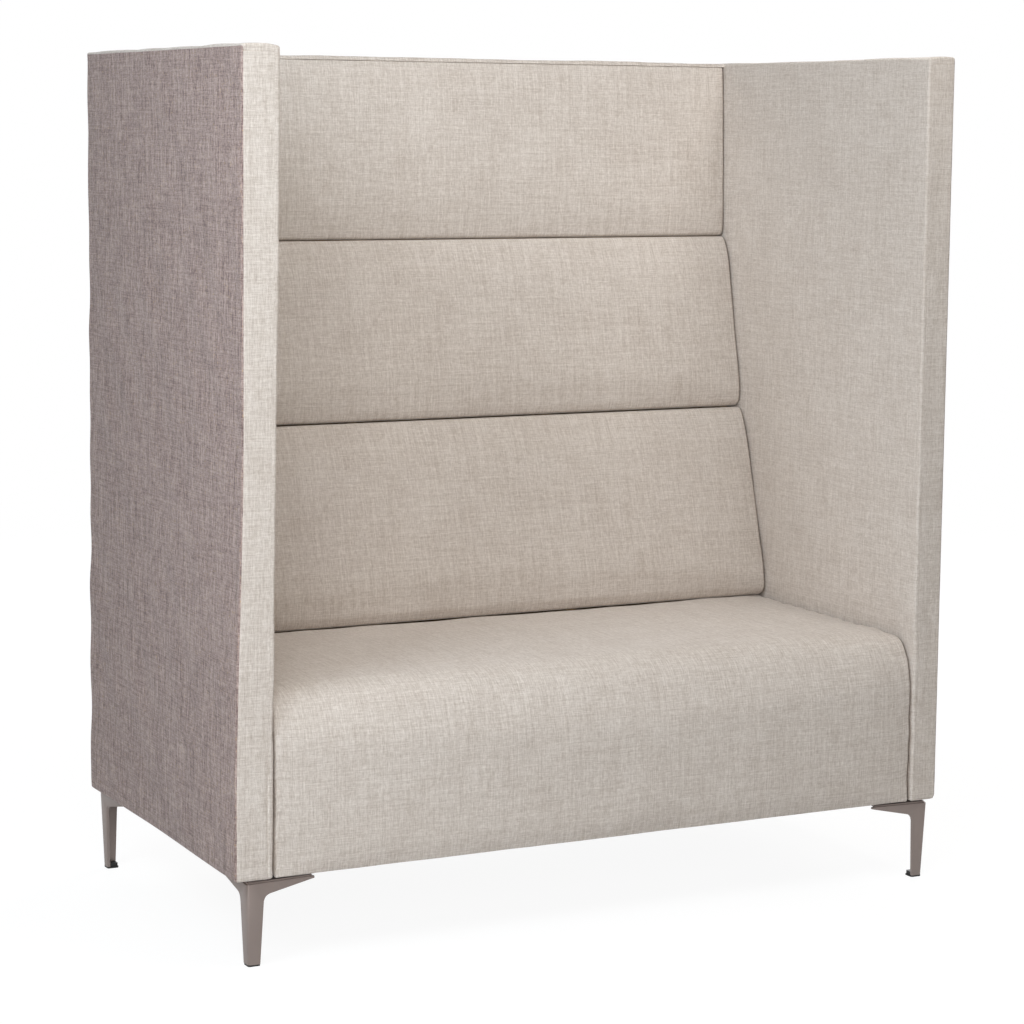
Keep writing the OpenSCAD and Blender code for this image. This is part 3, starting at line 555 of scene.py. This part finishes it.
def makeSeat(values):
    low, high = corners("seat_cover")
    railLow, railHigh = corners("seat_front_rail")
    half = high[0] - values["endGap"]
    face, rear = low[1] + values["faceInset"], high[1]
    seatTop, under = high[2] - values["crownRoom"], railHigh[2] + values["overRail"]
    hem = railLow[1] - values["hemGap"]
    rearRadius, hemRadius, hemPoint = values["rearRadius"], values["hemRadius"], values["hemPoint"]
    noseDepth, noseHeight = values["noseDepth"], values["noseHeight"]
    noseY, noseZ = face + noseDepth, seatTop - noseHeight
    # outline of a section in Y and Z: rear edge, top, rounded nose, front face, hem, back under the top
    angle = np.radians(np.linspace(90, 180, 18))
    outside = [arc(rear - rearRadius, seatTop - rearRadius, rearRadius, 0, 90, 5),
               line((rear - rearRadius, seatTop), (noseY, seatTop), 46)[1:-1],
               spread(noseY + noseDepth * np.cos(angle), noseZ + noseHeight * np.sin(angle)),
               line((face, noseZ), (face, low[2] + hemRadius), 24)[1:-1],
               arc(face + hemRadius, low[2] + hemRadius, hemRadius, 180, 270, 5)]
    inside = [[[hem, low[2]], [hem, low[2] + hemPoint], [hem, under - hemPoint], [hem, under]],
              line((hem, under), (rear, under), 14)[1:],
              line((rear, under), (rear, seatTop - rearRadius), 7)[1:-1]]
    ring = np.vstack(outside + inside)
    frontEnd = sum(map(len, outside))
    index = np.arange(len(ring))
    x = endStations(half, values["endRadius"], values["stations"])[:, None]
    y, z = ring.T
    fallBack = quarterRound(half - np.abs(x), values["endRadius"])
    across = 1 - (np.abs(x) / half) ** 4
    isTop = ease((z - noseZ) / noseHeight) * (index < frontEnd)
    isFront = ease((noseY - y) / noseDepth) * (index < frontEnd)
    depthShare = np.clip((y - noseY) / (rear - noseY), 0, 1)
    nearRear = ease(1 - (rear - rearRadius - y) / values["rearRoll"])
    crown = values["crown"] * across * np.sin(math.pi * depthShare)
    z = z + isTop * (crown + values["rearRise"] * nearRear - fallBack)
    heightShare = np.clip((z - low[2]) / (noseZ - low[2]), 0, 1)
    bulge = values["bulge"] * across * np.sin(math.pi * heightShare * values["bulgeSpan"])
    y = y + isFront * (fallBack - bulge)
    soft = np.exp(-(half - np.abs(x)) / values["endReach"])

    def waves(along, face):
        everywhere = values["ripple"] * ripple(x, along, *values[face + "Waves"])
        return everywhere + values["endRipple"] * soft * ripple(x * 0, along, *values[face + "EndWaves"])

    z = z + isTop * waves(y, "top")
    y = y + isFront * waves(z, "front")
    points = spread(x, y, z)
    held = np.where((index >= frontEnd - 2) | (index < 2), 1.0, 0.0) * np.ones_like(x)
    makeCushion("seatCushion", points, closedCloth(points, x), held, ["seat_cover", "seat_foam"], values)
    print("seat cushion made")


makeSeat(seatValues)

# Back pads: faceBottom and faceTop are distances from the sofa's rear, above and below how far the soft edges
# swell past the plain solid
padValues = {
    "top": {"seed": 21, "faceBottom": 0.055, "faceTop": 0.045, "bottomRadius": 0.014, "crown": 0.003,
            "topRadius": 0.0025, "above": 0.0},
    "middle": {"seed": 22, "faceBottom": 0.124, "faceTop": 0.060, "bottomRadius": 0.019},
    "lower": {"seed": 23, "faceBottom": 0.227, "faceTop": 0.130, "bottomRadius": 0.024, "below": 0.0042},
}
padShared = {
    "crown": 0.012,
    "topRadius": 0.008,
    "above": 0.0011,
    "below": 0.0011,
    "endRadius": 0.006,
    "endGap": 0.002,  # shorter than its plain solid at each end
    "backStep": 0.009,  # from the front of a raked board's box to the cover's back edge
    "backRows": 12,
    "roll": 0.058,  # length over which the padding rises from an edge
    "midCrown": 0.002,
    "heldEdge": 0.012,  # width of the edge that the simulation leaves in place
    "heldEnd": 1.5,  # in end radii
    "ripple": 0.0004,
    "waves": (0.08, 0.4),
    "edgeRipple": 0.000315,
    "edgeWaves": (0.02, 0.08),
    "edgeSeed": 40,
    "endReach": 0.025,
    "edgeReach": 0.02,
    "mapShift": 0.13,  # of the cloth map, times the seed
    "stations": 108,
    "fill": 0.95,
}


def makePad(name, values):
    low, high = corners(name + "_pad_cover")
    boardLow, boardHigh = corners(name + "_pad_board")
    rear = cadBounds[1][1]
    half = high[0] - values["endGap"]
    z0, z1 = low[2] - values["below"], high[2] + values["above"]
    face0, face1 = rear - values["faceBottom"], rear - values["faceTop"]
    back0 = min(boardLow[1] + values["backStep"], (boardLow[1] + boardHigh[1]) / 2)
    topRadius, bottomRadius = values["topRadius"], values["bottomRadius"]
    # outline of a section: top edge, face from top to bottom, bottom edge, back
    turn = np.linspace(0, math.pi / 2, 9)
    z = np.concatenate([z1 - topRadius * (1 - np.cos(turn)),
                        np.linspace(z1 - topRadius, z0 + bottomRadius, 42)[1:-1],
                        z0 + bottomRadius * (1 - np.sin(turn))])
    y = face1 + (face0 - face1) * (z1 - z) / (z1 - z0)
    y = y + quarterRound(z1 - z, topRadius) + quarterRound(z - z0, bottomRadius)
    back = line((back0, z0), (boardHigh[1], z1), values["backRows"])
    ringY, ringZ = np.concatenate([y, back[:, 0]]), np.concatenate([z, back[:, 1]])
    isFace = np.arange(len(ringZ)) < len(z)
    edgeDistance = np.minimum(z1 - ringZ, ringZ - z0)
    ringRise = isFace * (1 - (1 - np.clip(edgeDistance / values["roll"], 0, 1)) ** 2)
    x = endStations(half, values["endRadius"], values["stations"])[:, None]
    endDistance = half - np.abs(x)
    across = 1 - (np.abs(x) / half) ** 2
    soft = np.exp(-endDistance / values["endReach"]) + np.exp(-edgeDistance / values["edgeReach"])
    seed = values["seed"]
    crown = values["crown"] + values["midCrown"] * across
    wave = values["ripple"] * ripple(x, ringZ, seed, *values["waves"])
    edgeWave = values["edgeRipple"] * ripple(x, ringZ, seed + values["edgeSeed"], *values["edgeWaves"])
    push = ringRise * (crown + wave) - quarterRound(endDistance, values["endRadius"]) + soft * edgeWave
    points = spread(x, ringY - isFace * push, ringZ)
    held = (1 - isFace * ease(edgeDistance / values["heldEdge"])) * np.ones_like(x)
    cloth = closedCloth(points, x, seed * values["mapShift"])
    makeCushion(name + "Pad", points, cloth, held, [name + "_pad_cover", name + "_pad_foam"], values)


for padName, padSettings in padValues.items():
    makePad(padName, {**padShared, **padSettings})
print("back pads made")

# Covers stretched over boards and posts

panelValues = {
    "seamFade": (0.22, 0.42),  # heights between which a seam's depth changes
    "curlWidth": 0.0022,
    "bottomRadius": 0.005,
    "returnWidth": 0.008,  # cloth turned under the bottom edge
    "wall": 0.0022,
    "waves": (0.09, 0.5),
    "waveShift": 3,
    "still": 0.02,  # beside an edge, where the waves fade
    "edgeWaves": (0.04, 0.13),
    "edgeSeed": 9,
    "edgeReach": 0.03,
    "edgeStart": 0.006,
    "footStill": 0.01,
    "mapShift": 0.37,  # of the cloth map, times the seed
}


def chain(first, *others):
    # stretches of outline end to end, each but the first without its first point
    return np.concatenate([first, *(other[:, 1:] for other in others)], 1)


def seamAt(z, depths, values):
    # depth of a seam at a height, between its depths low down and high up
    low, high = depths
    start, end = values["seamFade"]
    return low + (high - low) * ease((z - start) / (end - start))


def verticalProfile(z0, z1, values):
    # rows from the underside round the bottom edge to the top seam: (distance inside the face, height)
    radius = values["bottomRadius"]
    rows = int(round((z1 - z0 - radius) / values["rowStep"]))
    turn = np.linspace(0, 1, 5)[1:]
    return np.vstack([
        line((radius + values["returnWidth"], z0), (radius, z0), 4)[:-1],
        arc(radius, z0 + radius, radius, 270, 180, 7),
        line((0, z0 + radius), (0, z1 - values["curlWidth"]), rows + 1)[1:],
        spread(values["topSeam"] * turn ** 2, z1 - values["curlWidth"] * (1 - turn))])


def stretchOver(piece):
    # reads a cover's cloth map; nothing is done with what it reads
    places = readArray(piece.data.uv_layers["cloth"].data, "uv", 2)


def coverPanel(name, side, plan, top, seams, waveSize, seed, values, slot, replaced):
    # sweeps a plan up a profile, each row at its distance inside the faces; waves push it outwards along its
    # normal, and the seams at both ends pull it inwards
    profile = verticalProfile(values["foot"], top, values)
    outline = plan(profile[:, 0])
    z = np.broadcast_to(profile[:, 1:], outline.shape[:2])
    tangent = np.gradient(outline, axis=1)
    tangent = tangent / np.maximum(np.linalg.norm(tangent, axis=-1, keepdims=True), 1e-9)
    outward = spread(-tangent[..., 1], tangent[..., 0])
    s = lengthAlong(outline)
    ends = (s, s[:, -1:] - s)
    edge = np.minimum(np.minimum(*ends), np.minimum(z - z[0], z[-1] - z))
    nearEdge = np.exp(-edge / values["edgeReach"]) * ease(edge / values["edgeStart"])
    wave = waveSize * ripple(s + side * values["waveShift"], z, seed, *values["waves"])
    edgeWave = values["edgeRipple"] * ripple(s, z, seed + values["edgeSeed"], *values["edgeWaves"])
    push = wave * ease(edge / values["still"]) + edgeWave * nearEdge
    for fromEnd, depths in zip(ends, seams):
        push = push - seamAt(z, depths, values) * np.clip(1 - fromEnd / values["curlWidth"], 0, 1) ** 2
    push = push * ease((z - z[0]) / values["footStill"])
    x, y = np.moveaxis(outline + outward * push[..., None], -1, 0)
    if "topLine" in values:
        lift = cornerLift(x, y, z, side, values)
        z = z + topLine(x, y, side, values) * ease(1 - (z[-1] - z) / values["topReach"])
        x = bend(x, y, z, side, values)
        z = z + lift
    cloth = spread(s + seed * values["mapShift"], z)
    piece = surface(name, spread(x * side, y, z), cloth, flip=side > 0)
    return finishPiece(piece, slot, replaced, solid=values["wall"])


# Wings: covers and borders; the left wing mirrors the right one's faces
innerLow, innerHigh = corners("right_wing_inner_cover")
outerHigh = corners("right_wing_outer_cover")[1]
borderLow, borderHigh = corners("right_wing_front_border")
innerX, outerX = innerLow[0], outerHigh[0]
frontY = borderLow[1]

wingValues = {
    **panelValues,
    "foot": borderLow[2],
    "edgeRadius": 0.0045,
    "leastRadius": 0.0004,
    "stripWidth": 0.008,
    # depth of seams on the left and the right wing, low down and high up
    "stripSeam": {-1: (0.0016, 0.00004), 1: (0.00015, 0.0003)},
    "cornerSeam": {-1: (0.0005, 0.0001), 1: (0.0002, 0.0001)},
    "rearSeam": (0.0010, 0.0010),
    "topSeam": 0.0001,
    "cornerAngle": -62.0,  # where dark cover and light border meet on the outer corner
    "coverRipple": 0.0007,
    "bandRipple": 0.0004,
    "edgeRipple": 0.00025,
    "rowStep": 0.010,
    "topLine": {-1: (0.0012, 0.0, -0.0006), 1: (0.0030, 0.0006, 0.0)},  # rise at front, middle and rear
    "topReach": 0.12,  # how far down the covers follow it
    "coverRise": 0.0025,  # of the covers above their plain solids, under the cap
    "frontFall": 0.0032,  # of the top, at its inner front corner
    "fallLength": 0.05,
    "frontReach": (0.10, 0.45),  # from this far back, over this length, the front post's bend grows
    "lean": {-1: 0.009, 1: 0.0},  # of the inner face inwards, at the top of the front edge
    "leanHeights": (0.50, 1.35),
    "splay": {-1: 0.013, 1: 0.0},  # of the outer face outwards, at the bottom of the front edge
    "splayHeights": (0.85, 0.23),
    "splayRear": 0.25,  # share of it at the rear
    "seatRoom": 0.0032,  # of the inner face outwards, beside the seat
    "seatHeights": (0.46, 0.42),
    "seatRear": (0.20, 0.05),  # it fades behind this place, over this length
    "cornerRadius": {-1: 0.003, 1: 0.010},  # rounding of the lower front corner
}


def topLine(x, y, side, values):
    # rise of a wing's top edge, a parabola through three heights, less the fall of its inner front corner
    front, middle, rear = values["topLine"][side]
    place = y / cadBounds[1][1]
    rise = middle + place * (rear - front) / 2 + place ** 2 * ((rear + front) / 2 - middle)
    nearInner = np.clip((innerX + outerX - 2 * x) / (outerX - innerX), 0, 1)
    return rise - values["frontFall"] * np.exp((frontY - y) / values["fallLength"]) * nearInner ** 2


def bend(x, y, z, side, values):
    # a wing's covers bow a little from their plain solids: inner face, outer face and what lies between
    def between(heights):
        return ease((z - heights[0]) / (heights[1] - heights[0]))

    start, length = values["frontReach"]
    front = ease((start - y) / length)
    rearShare = values["splayRear"]
    seatRear, fade = values["seatRear"]
    inner = values["seatRoom"] * between(values["seatHeights"]) * ease((seatRear - y) / fade)
    inner = inner - values["lean"][side] * between(values["leanHeights"]) * front
    outer = values["splay"][side] * between(values["splayHeights"]) * (rearShare + (1 - rearShare) * front)
    share = np.clip((x - innerX) / (outerX - innerX), 0, 1)
    return x + inner * (1 - share) + outer * share


def cornerLift(x, y, z, side, values):
    # rise of the bottom edge towards the outer front corner, which rounds it off
    radius = values["cornerRadius"][side]
    away = np.hypot(np.maximum(outerX - x, 0), np.maximum(y - frontY, 0))
    return quarterRound(away, radius) * ease(1 - (z - values["foot"]) / (3 * radius))


def makeWing(prefix, side, values):
    seamX = innerX + values["stripWidth"]

    def rounding(inset):
        return np.maximum(values["edgeRadius"] - inset, values["leastRadius"])

    def innerPlan(inset):
        x0, y0, r = innerX + inset, frontY + inset, rounding(inset)
        return chain(line((seamX, y0), (x0 + r, y0), 8),
                     arc(x0 + r, y0 + r, r, -90, -180, 9),
                     line((x0, y0 + r), (x0, innerHigh[1]), 66))

    def bandPlan(inset):
        x1, y0, r = outerX - inset, frontY + inset, rounding(inset)
        return chain(arc(x1 - r, y0 + r, r, values["cornerAngle"], -90, 5),
                     line((x1 - r, y0), (seamX, y0), 18))

    def outerPlan(inset):
        x1, y0, y1, r = outerX - inset, frontY + inset, outerHigh[1] - inset, rounding(inset)
        return chain(line((innerX, y1), (x1 - r, y1), 14),
                     arc(x1 - r, y1 - r, r, 90, 0, 9),
                     line((x1, y1 - r), (x1, y0 + r), 72),
                     arc(x1 - r, y0 + r, r, 0, values["cornerAngle"], 6))

    rise, strip, corner = values["coverRise"], values["stripSeam"][side], values["cornerSeam"][side]
    panels = (
        ("InnerCover", innerPlan, innerHigh[2] + rise, (strip, (0.0, 0.0)), "coverRipple", 31,
         "light_fabric", ("inner_cover", "foam")),
        ("FrontBorder", bandPlan, borderHigh[2], (corner, strip), "bandRipple", 51,
         "light_fabric", ("front_border",)),
        ("OuterCover", outerPlan, outerHigh[2] + rise, (values["rearSeam"], corner), "coverRipple", 71,
         "dark_fabric", ("outer_cover",)))
    inner, band, outer = (
        coverPanel(f"{prefix}Wing{name}", side, plan, top, seams, values[waveSize], seed + side, values, slot,
                   [f"{prefix}_wing_{node}" for node in nodes])
        for name, plan, top, seams, waveSize, seed, slot, nodes in panels)
    stretchOver(band)
    stretchOver(outer)


capValues = {
    "edgeRadius": 0.0040,
    "planRadius": 0.0045,
    "leastRadius": 0.0002,
    "skirtTurn": 0.0012,  # depth over which the skirt goes down to the front border
    "bow": 0.0012,
    "ripple": 0.0004,
    "waves": (0.07, 0.3),
    "ridgeGap": 0.0002,  # from the last ring to the middle, closed by the weld
    "weld": 0.0006,
}


def makeWingCap(prefix, side, values, wing):
    # cap over a wing's top: rings of a rounded rectangle from the skirt over the edge and in to the ridge
    low, high = corners("right_wing_top_border")
    (x0, y0, frontZ), (x1, y1, top) = low, high
    sideZ = innerHigh[2] + wing["coverRise"]
    edgeRadius, planRadius = values["edgeRadius"], values["planRadius"]
    turn = np.radians(np.linspace(0, 90, 8))[1:]
    flat = np.linspace(edgeRadius, (x1 - x0) / 2 - values["ridgeGap"], 7)[1:]
    insets = np.concatenate([[wing["topSeam"], 0.0], edgeRadius * (1 - np.cos(turn)), flat])
    rise = np.concatenate([[0.0, 0.0], edgeRadius * np.sin(turn), flat * 0 + edgeRadius])[:, None]
    r = np.maximum(planRadius - insets, values["leastRadius"])
    left, right, near, far = x0 + insets, x1 - insets, y0 + insets, y1 - insets
    outline = chain(
        line((left, far - r), (left, near + r), 72),
        arc(left + r, near + r, r, 180, 270, 7),
        line((left + r, near), (right - r, near), 12),
        arc(right - r, near + r, r, 270, 360, 7),
        line((right, near + r), (right, far - r), 72),
        arc(right - r, far - r, r, 0, 90, 7),
        line((right - r, far), (left + r, far), 12),
        arc(left + r, far - r, r, 90, 180, 7))[:, :-1]
    x, y = outline[..., 0], outline[..., 1]
    bottomZ = sideZ + (frontZ - sideZ) * ease((y0 - y[0]) / values["skirtTurn"] + 1)
    aboveHem = (np.arange(len(insets)) > 0)[:, None]
    z = bottomZ + (top - edgeRadius - bottomZ) * aboveHem + rise
    # the cloth map lies as the plan does, with the skirts folded out flat around it
    core = np.clip(outline[0], low[:2] + planRadius, high[:2] - planRadius)
    outwards = outline[0] - core
    outwards = outwards / np.linalg.norm(outwards, axis=-1, keepdims=True)
    ringMap = outline + outwards * (top - z)[..., None]
    bow = values["bow"] * (0.5 - ((2 * x - x0 - x1) / (x1 - x0)) ** 2)
    wave = values["ripple"] * ripple(y, x * 0, 90 + side, *values["waves"])
    z = z + (bow + wave) * rise / edgeRadius + topLine(x, y, side, wing)
    points = spread(bend(x, y, z, side, wing) * side, y, z)
    cloth = np.concatenate([ringMap, ringMap[:, :1]], 1)
    piece = surface(f"{prefix}WingTopBorder", points, cloth, closed=True, flip=side < 0)
    rings, columns = x.shape
    ridge = piece.vertex_groups.new(name="ridge")
    ridge.add(list(range((rings - 1) * columns, rings * columns)), 1.0, "REPLACE")
    addModifier(piece, "ridge", "WELD", merge_threshold=values["weld"], vertex_group="ridge")
    finishPiece(piece, "light_fabric", [f"{prefix}_wing_top_border"], solid=wing["wall"])
    stretchOver(piece)


for wingName, wingSide in (("left", -1), ("right", 1)):
    makeWing(wingName, wingSide, wingValues)
    makeWingCap(wingName, wingSide, capValues, wingValues)
print("wings made")

# Back: rear cover and top border
rearLow, rearHigh = corners("back_rear_cover")

backValues = {
    **panelValues,
    "foot": rearLow[2],
    "rearSeam": (0.0010, 0.0010),
    "topSeam": 0.0004,
    "ripple": 0.0006,
    "edgeRipple": 0.0005,
    "rowStep": 0.012,
}


def makeRearCover(values):
    def rearPlan(inset):
        y = rearHigh[1] - inset
        return line((rearLow[0], y), (rearHigh[0], y), 110)

    seams = (values["rearSeam"], values["rearSeam"])
    cover = coverPanel("backRearCover", 1, rearPlan, rearHigh[2], seams, values["ripple"], 83, values,
                       "dark_fabric", ["back_rear_cover"])
    stretchOver(cover)


backBorderValues = {
    "radius": 0.006,
    "tuck": 0.001,
    "lip": 0.0005,
    "ripple": 0.0005,
    "waves": (0.08, 0.35),
    "wall": 0.0022,
    "mapShift": 2.2,
}


def makeBackBorder(values):
    # strip over the top of the back: up its front skirt, over and down the rear one
    (x0, y0, z0), (x1, y1, z1) = corners("back_top_border")
    r, tuck, lip = values["radius"], values["tuck"], values["lip"]
    section = np.vstack([
        line((y0 + tuck, z0), (y0, z0 + lip), 2),
        arc(y0 + r, z1 - r, r, 180, 90, 8),
        line((y0 + r, z1), (y1 - r, z1), 10)[1:-1],
        arc(y1 - r, z1 - r, r, 90, 0, 8),
        line((y1, z0 + lip), (y1 - tuck, z0), 2)])
    x = np.linspace(x0, x1, 130)[:, None]
    y, z = section.T
    z = z + ease((z - z0) / r) * values["ripple"] * ripple(x, y * 0, 95, *values["waves"])
    points = spread(x, y, z)
    cloth = spread(x + values["mapShift"], lengthAlong(points))
    piece = surface("backTopBorder", points, cloth, flip=True)
    finishPiece(piece, "light_fabric", ["back_top_border"], solid=values["wall"])
    stretchOver(piece)


makeRearCover(backValues)
makeBackBorder(backBorderValues)
print("back made")

# Cloths inside the seat: one stretched over the springs, one stapled under the base
innerClothValues = {
    "sag": 0.003,  # of the dust cover, in the middle
    "overFloor": 0.0006,  # from the base's plane to the dust cover's edge
    "wall": 0.0008,
    "grid": (48, 28),
}


def makeInnerCloth(name, node, values, height):
    # sheet over a node's outline, with its height as a function of two shares across the outline
    low, high = corners(node)
    across, along = np.meshgrid(*(np.linspace(0, 1, count) for count in values["grid"]), indexing="ij")
    x, y = (low[k] + (high[k] - low[k]) * share for k, share in ((0, across), (1, along)))
    points = spread(x, y, height(low, high, across, along))
    piece = surface(name, points, spread(x, lengthAlong(points)))
    finishPiece(piece, "black_cloth", [node], solid=values["wall"])
    stretchOver(piece)


def sprungHeight(low, high, across, along):
    # arch over the springs
    return high[2] - (high[2] - low[2]) * (2 * along - 1) ** 2


def stapledHeight(low, high, across, along):
    # flat at the staples, hanging a little in the middle
    hang = (np.sin(math.pi * across) * np.sin(math.pi * along)) ** 2
    return low[2] + innerClothValues["overFloor"] - innerClothValues["sag"] * hang


makeInnerCloth("springCloth", "seat_support_cloth", innerClothValues, sprungHeight)
makeInnerCloth("dustCover", "dust_cover", innerClothValues,
               stapledHeight)
print("inner cloths made")

# Legs: the cast shape with softened edges
legValues = {
    "mergeDistance": 1e-6,
    "flatAngle": 0.5,
    "bevel": 0.0009,
    "segments": 2,
    "sharpAngle": 35.0,
    "gapCorner": 0.0054,  # gap under the covers at the leg's corner
    "gapEnd": 0.0028,  # and at the ends of its arms
    "armLength": 0.114,
}


def makeLeg(node, values):
    mesh = frame["nodes"][node].data.copy()
    mesh.name = node
    work = bmesh.new()
    work.from_mesh(mesh)
    bmesh.ops.remove_doubles(work, verts=work.verts, dist=values["mergeDistance"])
    bmesh.ops.dissolve_limit(work, angle_limit=math.radians(values["flatAngle"]), verts=work.verts,
                             edges=work.edges)
    work.to_mesh(mesh)
    work.free()
    low, high = corners(node)
    points = readArray(mesh.vertices, "co", 3)
    outer = np.where(np.abs(low) > np.abs(high), low, high)
    along = np.clip(np.abs(points[:, :2] - outer[:2]).max(1) / values["armLength"], 0, 1)
    gap = values["gapCorner"] + (values["gapEnd"] - values["gapCorner"]) * along
    points[:, 2] -= gap * (points[:, 2] > high[2] - values["gapEnd"])
    mesh.vertices.foreach_set("co", points.ravel())
    mesh.materials.clear()
    mesh.polygons.foreach_set("use_smooth", np.ones(len(mesh.polygons), bool))
    leg = addObject("leg" + "".join(part.capitalize() for part in node.split("_")[1:]), mesh)
    addModifier(leg, "softEdges", "BEVEL", width=values["bevel"], segments=values["segments"],
                limit_method="ANGLE", angle_limit=math.radians(values["sharpAngle"]), harden_normals=True)
    finishPiece(leg, "leg_metal", [node])


for legNode in sorted(n for n in frame["nodes"] if n.startswith("leg_") and n != "leg_screws"):
    makeLeg(legNode, legValues)
print("legs made")

# Carried-over CAD nodes take the material of their record slot
for part in frame["record"]["subparts"]:
    carried = frame["nodes"][part["node"]]
    carried.data.materials.clear()
    carried.data.materials.append(materials[slotMaterials[part["material_slot"]]])

# Floor, world and lights
stageValues = {
    "floorSize": 60.0,
    "whitening": (2.6, 5.0),  # radii between which the lit floor turns to plain white
    "floorGlow": 0.93,  # floor as the camera sees it: a plain glow, and light and shadow on its paint
    "floorPaint": 0.1,
    "bouncePaint": 0.8,  # floor as it lights the sofa
    "ambient": 0.03,
}


def makeStage(values):
    def emptyTree(block):
        block.use_nodes = True
        block.node_tree.nodes.clear()
        return block.node_tree

    def paint(tree, share):
        return addNode(tree, "ShaderNodeBsdfDiffuse", {"Color": (share, share, share, 1)})

    def showDirectly(tree, unseen, seen, *extraRays):
        # what camera and glossy rays meet is apart from what lights the sofa
        rays = addNode(tree, "ShaderNodeLightPath").outputs
        direct = mathNode(tree, "MAXIMUM", rays["Is Camera Ray"], rays["Is Glossy Ray"])
        for name in extraRays:
            direct = mathNode(tree, "MAXIMUM", direct, rays[name])
        return addNode(tree, "ShaderNodeMixShader", {0: direct, 1: unseen, 2: seen})

    half = values["floorSize"] / 2
    mesh = bpy.data.meshes.new("floor")
    outline = [(-half, -half, 0), (half, -half, 0), (half, half, 0), (-half, half, 0)]
    mesh.from_pydata(outline, [], [(0, 1, 2, 3)])
    floor = addObject("floor", mesh)
    material = bpy.data.materials.new("floorPaint")
    mesh.materials.append(material)
    tree = emptyTree(material)
    glow = addNode(tree, "ShaderNodeEmission", {"Strength": values["floorGlow"]})
    seen = addNode(tree, "ShaderNodeAddShader", {0: paint(tree, values["floorPaint"]), 1: glow})
    place = addNode(tree, "ShaderNodeTexCoord").outputs["Object"]
    radius = addNode(tree, "ShaderNodeVectorMath", {0: place}, operation="LENGTH").outputs["Value"]
    start, end = values["whitening"]
    fade = addNode(tree, "ShaderNodeMapRange", {"Value": radius, "From Min": start, "From Max": end},
                   interpolation_type="SMOOTHSTEP")
    white = addNode(tree, "ShaderNodeEmission", {"Strength": 1.0})
    shown = addNode(tree, "ShaderNodeMixShader", {0: fade, 1: seen, 2: white})
    final = showDirectly(tree, paint(tree, values["bouncePaint"]), shown)
    addNode(tree, "ShaderNodeOutputMaterial", {"Surface": final})

    world = bpy.data.worlds.new("studio")
    bpy.context.scene.world = world
    tree = emptyTree(world)
    ambient, white = (addNode(tree, "ShaderNodeBackground", {"Color": (1, 1, 1, 1), "Strength": strength})
                      for strength in (values["ambient"], 1.0))
    final = showDirectly(tree, ambient, white, "Is Transmission Ray")
    addNode(tree, "ShaderNodeOutputWorld", {"Surface": final})


# each light's place, aim, size, watts and colour
lightValues = {
    "highLeft": ((-2.4, -1.2, 2.3), (-0.4, 0.0, 0.9), (1.0, 1.0), 40.5, (0.83, 0.92, 1.0)),
    "nearLeft": ((-1.4, -1.9, 2.7), (-0.2, -0.1, 0.9), (1.0, 1.0), 13.8, (0.88, 0.97, 1.0)),
    "lowLeft": ((-1.5, -2.2, 1.1), (-0.3, -0.2, 0.8), (1.0, 0.8), 19.8, (1.0, 0.99, 0.985)),
    "frontRight": ((0.7, -1.7, 2.8), (0.1, 0.1, 0.9), (1.0, 0.8), 12.2, (1.0, 0.94, 0.87)),
    "overRight": ((0.9, -0.9, 2.6), (0.4, 0.0, 0.8), (0.8, 0.8), 6.7, (0.98, 0.99, 1.0)),
    "overhead": ((0.2, -0.6, 3.6), (0.1, 0.0, 0.4), (2.4, 1.8), 11.5, (1.0, 0.92, 0.86)),
    "highRight": ((2.2, -1.0, 3.4), (0.0, 0.0, 0.6), (2.0, 1.8), 3.8, (1.0, 0.94, 0.88)),
    "rearRight": ((3.2, 2.8, 2.6), (0.2, 0.2, 0.7), (2.2, 2.0), 95.0, (1.0, 1.0, 1.0)),
    "rearHigh": ((0.4, 4.2, 2.6), (0.0, 0.3, 0.7), (2.0, 2.0), 60.0, (1.0, 1.0, 1.0)),
}


def makeLight(name, place, aim, size, watts, colour):
    data = bpy.data.lights.new(name, "AREA")
    data.shape = "RECTANGLE"
    data.size, data.size_y = size
    data.energy = watts
    data.color = colour
    back = np.subtract(place, aim)
    back = back / np.linalg.norm(back)
    side = np.cross([0.0, 0.0, 1.0], back)
    side = side / np.linalg.norm(side)
    setPlace(addObject(name, data), side, np.cross(back, side), back, place)


makeStage(stageValues)
for lampName, lampValues in lightValues.items():
    makeLight(lampName, *lampValues)
bpy.context.scene.view_settings.view_transform = "Standard"
print("stage and lights made")
